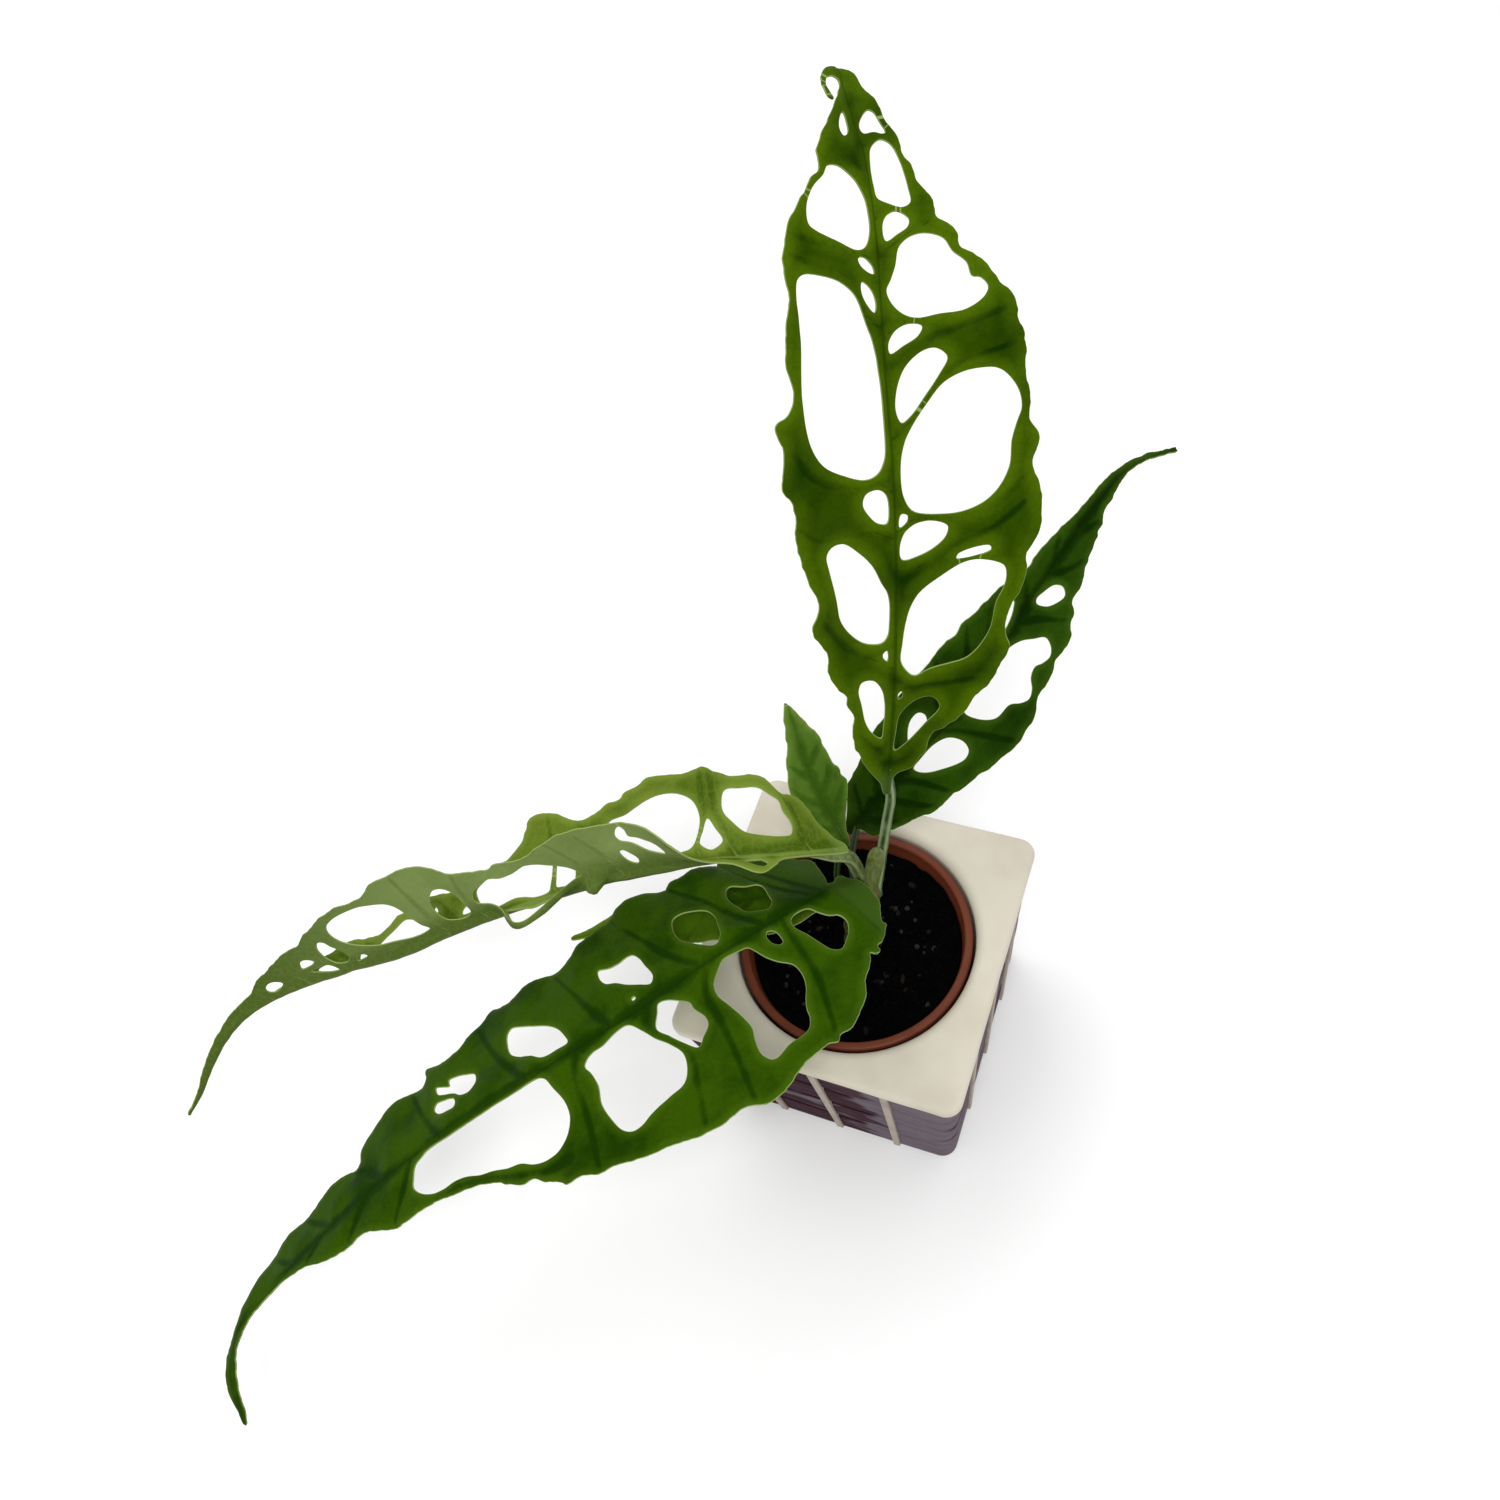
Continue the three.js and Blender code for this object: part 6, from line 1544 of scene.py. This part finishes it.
def battens_group(material):
    """Upright strips across the middle of each of the four sides, drawn in with the taper."""
    tree, given, result = geometry_group("battens", [
        ("Width", 3.4 * MM), ("Depth", 1.6 * MM), ("Spacing", 22.5 * MM), ("Reach", 43.8 * MM),
        ("Bottom", 2 * MM), ("Top", 74 * MM), ("Taper", 0.9), ("Height", 78 * MM),
    ])
    section = add_node(tree, "GeometryNodeCurvePrimitiveQuadrilateral")
    tree.links.new(given["Width"], section.inputs["Width"])
    tree.links.new(calculate(tree, "multiply", given["Depth"], 2.0), section.inputs["Height"])
    rounded = add_node(tree, "GeometryNodeFilletCurve", {
        "Curve": section.outputs["Curve"], "Count": 4, "Radius": 0.5 * MM,
    }, mode="POLY")
    start = add_node(tree, "ShaderNodeCombineXYZ", {"Z": given["Bottom"]})
    end = add_node(tree, "ShaderNodeCombineXYZ", {"Z": given["Top"]})
    line = add_node(tree, "GeometryNodeCurvePrimitiveLine", {
        "Start": start.outputs[0], "End": end.outputs[0],
    })
    strip = add_node(tree, "GeometryNodeResampleCurve", {"Curve": line.outputs["Curve"], "Count": 40})
    solid = add_node(tree, "GeometryNodeCurveToMesh", {
        "Curve": strip.outputs["Curve"], "Profile Curve": rounded.outputs["Curve"], "Fill Caps": True,
    })
    out = calculate(tree, "multiply", given["Reach"], -1.0)
    first = add_node(tree, "ShaderNodeCombineXYZ", {
        "X": calculate(tree, "multiply", given["Spacing"], -1.0), "Y": out,
    })
    pitch = add_node(tree, "ShaderNodeCombineXYZ", {"X": given["Spacing"]})
    row = add_node(tree, "GeometryNodeMeshLine", {
        "Count": PLANTER["battens"], "Start Location": first.outputs[0], "Offset": pitch.outputs[0],
    }, mode="OFFSET")
    one_side = add_node(tree, "GeometryNodeInstanceOnPoints", {
        "Points": row.outputs["Mesh"], "Instance": solid.outputs["Mesh"],
    })
    centre = add_node(tree, "GeometryNodeMeshLine", {"Count": 4, "Offset": (0, 0, 0)}, mode="OFFSET")
    quarter = calculate(tree, "multiply", add_node(tree, "GeometryNodeInputIndex").outputs[0], math.pi / 2)
    turn = add_node(tree, "ShaderNodeCombineXYZ", {"Z": quarter})
    sides = add_node(tree, "GeometryNodeInstanceOnPoints", {
        "Points": centre.outputs["Mesh"], "Instance": one_side.outputs["Instances"],
        "Rotation": turn.outputs[0],
    })
    real = add_node(tree, "GeometryNodeRealizeInstances", {"Geometry": sides.outputs["Instances"]})
    place = add_node(tree, "GeometryNodeInputPosition").outputs[0]
    parts = add_node(tree, "ShaderNodeSeparateXYZ", {"Vector": place}).outputs
    narrowing = add_node(tree, "ShaderNodeMapRange", {
        "Value": parts["Z"], "From Min": 0.0, "From Max": given["Height"], "To Min": given["Taper"],
        "To Max": 1.0,
    }).outputs["Result"]
    moved = add_node(tree, "ShaderNodeCombineXYZ", {
        "X": calculate(tree, "multiply", parts["X"], narrowing),
        "Y": calculate(tree, "multiply", parts["Y"], narrowing),
        "Z": parts["Z"],
    })
    drawn_in = add_node(tree, "GeometryNodeSetPosition", {
        "Geometry": real.outputs["Geometry"], "Position": moved.outputs[0],
    })
    painted = add_node(tree, "GeometryNodeSetMaterial", {"Geometry": drawn_in.outputs["Geometry"]})
    painted.inputs["Material"].default_value = material
    tree.links.new(painted.outputs["Geometry"], result["Geometry"])
    return tree


def make_battens(cream):
    height = PLANTER["height"]
    top_half, bottom_half = slat_half(height), slat_half(0)
    mesh = grown("battens", bpy.data.meshes.new("battens_base"), battens_group(cream), {
        "Width": PLANTER["batten_width"] * MM,
        "Depth": PLANTER["batten_depth"] * MM,
        "Spacing": PLANTER["batten_spacing"] * MM,
        "Reach": float(top_half) * MM,
        "Bottom": PLANTER["batten_bottom"] * MM,
        "Top": (height - PLANTER["slab_thickness"]) * MM,
        "Taper": float(bottom_half / top_half),
        "Height": height * MM,
    })
    return finish_mesh("battens", mesh)


# The nursery pot and the soil.


def make_nursery_pot(plastic):
    pot = NURSERY_POT
    rim_bottom = pot["rim_top"] - pot["rim_height"]
    wall_top = pot["rim_radius"] - pot["rim_step"]
    inner_top, inner_floor = wall_top - pot["wall"], pot["bottom_radius"] - pot["wall"]
    bead = 0.8
    profile = [
        (0, pot["bottom"]), (pot["bottom_radius"] - 1, pot["bottom"]),
        (pot["bottom_radius"], pot["bottom"] + 1), (wall_top - 1, rim_bottom - 0.4),
        (wall_top, rim_bottom), (pot["rim_radius"], rim_bottom + 0.5),
    ]
    outer, inner = pot["rim_radius"] - bead, inner_top + bead
    for turn in np.linspace(0, math.pi / 2, 7):
        profile.append((outer + bead * math.cos(turn), pot["rim_top"] - bead + bead * math.sin(turn)))
    for turn in np.linspace(0, math.pi / 2, 7):
        profile.append((inner - bead * math.sin(turn), pot["rim_top"] - bead + bead * math.cos(turn)))
    profile += [(inner_top - 0.1, pot["rim_top"] - 2.4), (inner_top - 0.5, pot["rim_top"] - 3.2)]
    profile += [(inner_floor, pot["bottom"] + pot["wall"]), (0, pot["bottom"] + pot["wall"])]
    points, faces = turned(profile, 240)
    return make_piece("nursery_pot_fine", points, faces, [plastic],
                      replaced=["nursery_pot"])


def soil_top(x, y):
    """Height of the loose soil: broad mounds, clods and grains, banked against the stem."""
    mounds = np.sin(x * 0.31 + 1.3) * np.cos(y * 0.27 - 0.4) + 0.6 * np.sin(x * 0.71 - y * 0.53)
    flat = np.c_[x, y, np.zeros(len(x))]
    clods = 0.8 * rough(flat, 3.2, 4.0) + 0.45 * rough(flat, 1.4, 9.0) + 0.2 * rough(flat, 0.7, 2.0)
    banked = 1.2 * np.exp(-(x**2 + (y - 2) ** 2) / 70)
    at_wall = SOIL["bank"] * smoothstep(14, SOIL["radius"], np.hypot(x, y))
    return SOIL["top"] + 0.8 * mounds + clods + banked + at_wall


def make_soil(earth):
    segments, top_rings = 260, 90
    angles = np.linspace(0, 2 * math.pi, segments, endpoint=False)
    circle = np.stack([np.cos(angles), np.sin(angles)], axis=1)
    rings = [np.c_[circle * SOIL["bottom_radius"], np.full(segments, SOIL["bottom"])]]
    for share in np.linspace(1, 0.004, top_rings):
        x, y = (circle * SOIL["radius"] * share).T
        rings.append(np.stack([x, y, soil_top(x, y)], axis=1))
    points, faces = loft(rings)
    return make_piece("soil_fine", points, faces, [earth], replaced=["soil"])


def crumbs_group(name, material, facets, seed):
    """Lumps of random size and turn, scattered over a mesh."""
    tree, given, result = geometry_group(name, [
        ("Per Square Metre", 1000.0), ("Smallest", 0.4 * MM), ("Largest", 1.2 * MM), ("Stretch", 1.0),
        ("Lumpiness", 0.3 * MM),
    ])
    scatter = add_node(tree, "GeometryNodeDistributePointsOnFaces", {
        "Mesh": given["Geometry"], "Density": given["Per Square Metre"], "Seed": seed,
    })
    lump = add_node(tree, "GeometryNodeMeshIcoSphere", {"Radius": 1.0, "Subdivisions": facets})
    size = add_node(tree, "FunctionNodeRandomValue", data_type="FLOAT")
    tree.links.new(given["Smallest"], size.inputs[2])
    tree.links.new(given["Largest"], size.inputs[3])
    size.inputs["Seed"].default_value = seed + 1
    longer = calculate(tree, "multiply", size.outputs[1], given["Stretch"])
    scale = add_node(tree, "ShaderNodeCombineXYZ", {"X": longer, "Y": size.outputs[1], "Z": size.outputs[1]})
    turn = add_node(tree, "FunctionNodeRandomValue", {"Seed": seed + 2}, data_type="FLOAT_VECTOR")
    turn.inputs[1].default_value = (2 * math.pi,) * 3
    placed = add_node(tree, "GeometryNodeInstanceOnPoints", {
        "Points": scatter.outputs["Points"], "Instance": lump.outputs["Mesh"],
        "Rotation": turn.outputs[0], "Scale": scale.outputs[0],
    })
    real = add_node(tree, "GeometryNodeRealizeInstances", {"Geometry": placed.outputs["Instances"]})
    place = add_node(tree, "GeometryNodeInputPosition").outputs[0]
    bumpy = add_node(tree, "ShaderNodeTexNoise", {
        "Vector": place, "Scale": CRUMB_BUMPS, "Detail": 1.0,
    })
    centred = calculate(tree, "vector subtract", bumpy.outputs["Color"], (0.5, 0.5, 0.5))
    push = add_node(tree, "ShaderNodeVectorMath", operation="SCALE")
    tree.links.new(centred, push.inputs[0])
    tree.links.new(given["Lumpiness"], push.inputs["Scale"])
    lumpy = add_node(tree, "GeometryNodeSetPosition", {
        "Geometry": real.outputs["Geometry"], "Offset": push.outputs[0],
    })
    painted = add_node(tree, "GeometryNodeSetMaterial", {"Geometry": lumpy.outputs["Geometry"]})
    painted.inputs["Material"].default_value = material
    tree.links.new(painted.outputs["Geometry"], result["Geometry"])
    return tree


def crumb_bed():
    """The part of the soil's top that crumbs lie on, clear of the pot's wall and the stem."""
    count = 61
    side = np.linspace(-30, 30, count)
    x, y = (grid.ravel() for grid in np.meshgrid(side, side))
    points = np.stack([x, y, soil_top(x, y)], axis=1)
    mesh = bpy.data.meshes.new("crumb bed")
    faces = []
    for j in range(count - 1):
        for i in range(count - 1):
            middle = np.hypot(side[i] + 0.5, side[j] + 0.5)
            from_stem = np.hypot(side[i] + 0.5, side[j] - 1.5)
            if middle < 29.5 and from_stem > 6:
                a = j * count + i
                faces.append((a, a + 1, a + count + 1, a + count))
    mesh.from_pydata((points * MM).tolist(), [], faces)
    return mesh


def make_crumbs(name):
    kind = CRUMBS[name]
    material = soil_material(name.replace("_crumbs", " crumb"), kind["dry"], kind["damp"])
    mesh = grown(name, crumb_bed(), crumbs_group(name, material, kind["facets"], kind["seed"]), {
        "Per Square Metre": kind["density"],
        "Smallest": kind["smallest"] * MM,
        "Largest": kind["largest"] * MM,
        "Stretch": kind["stretch"],
        "Lumpiness": kind["lumpiness"] * MM,
    })
    return finish_mesh(name, mesh)


# The studio.


def make_camera():
    """The photo's view: from above and a little to the right of the front."""
    right = Vector((0.9269, 0.3394, -0.16))
    down = Vector((0.2206, -0.838, -0.4991))
    forward = Vector((-0.3035, 0.4273, -0.8516))
    camera = bpy.data.objects.new("camera", bpy.data.cameras.new("camera"))
    camera.data.lens = 33.6  # 1400 pixels of the 1500 that the sensor is wide
    camera.data.sensor_width = 36
    turn = Matrix((right, -down, -forward)).transposed().to_4x4()
    camera.matrix_world = Matrix.Translation(Vector((87.4, -145.9, 474)) * MM) @ turn
    bpy.context.scene.collection.objects.link(camera)
    bpy.context.scene.camera = camera


def make_floor():
    mesh = bpy.data.meshes.new("floor")
    half = 12.0
    corners = [(-half, -half, 0), (half, -half, 0), (half, half, 0), (-half, half, 0)]
    mesh.from_pydata(corners, [], [(0, 1, 2, 3)])
    mesh.materials.append(floor_material())
    floor = bpy.data.objects.new("floor", mesh)
    bpy.context.scene.collection.objects.link(floor)


def make_light(name, place, size, power):
    light = bpy.data.lights.new(name, "AREA")
    light.shape = "DISK"
    light.size = size
    light.energy = power
    lamp = bpy.data.objects.new(name, light)
    lamp.location = place
    lamp.rotation_mode = "QUATERNION"
    pot_rim = Vector((0, 0, 0.08))
    lamp.rotation_quaternion = (pot_rim - Vector(place)).to_track_quat("-Z", "Y")
    bpy.context.scene.collection.objects.link(lamp)


def make_world():
    world = bpy.data.worlds.new("studio")
    world.use_nodes = True
    background = world.node_tree.nodes["Background"]
    background.inputs["Color"].default_value = (1, 1, 1, 1)
    background.inputs["Strength"].default_value = 0.75
    bpy.context.scene.world = world
    bpy.context.scene.view_settings.view_transform = "Standard"


# The whole plant.

skin = leaf_skin_group()
speckle = speckle_group()
for leaf_name in LEAVES:
    make_leaf(leaf_name, skin)
make_stem(stalk_material("stem skin", (78, 90, 38), (98, 84, 50)))
make_shoot(stalk_material("shoot skin", (92, 106, 44), (106, 120, 58)))

make_planter(cast_material("planter cream", speckle), board_material())
# the battens take the planter's cream darkened as painted shade
make_battens(cast_material("shaded cream battens", speckle))
make_nursery_pot(cast_material("terracotta plastic", speckle))

make_soil(soil_material("damp potting mix", (5, 4, 4), (1, 1, 1)))
for crumbs_name in CRUMBS:
    make_crumbs(crumbs_name)

make_floor()
make_camera()
make_world()
make_light("window", (-0.5, 0.4, 1.1), 1.0, 4.5)
make_light("fill", (0.24, -0.41, 1.2), 0.35, 6)
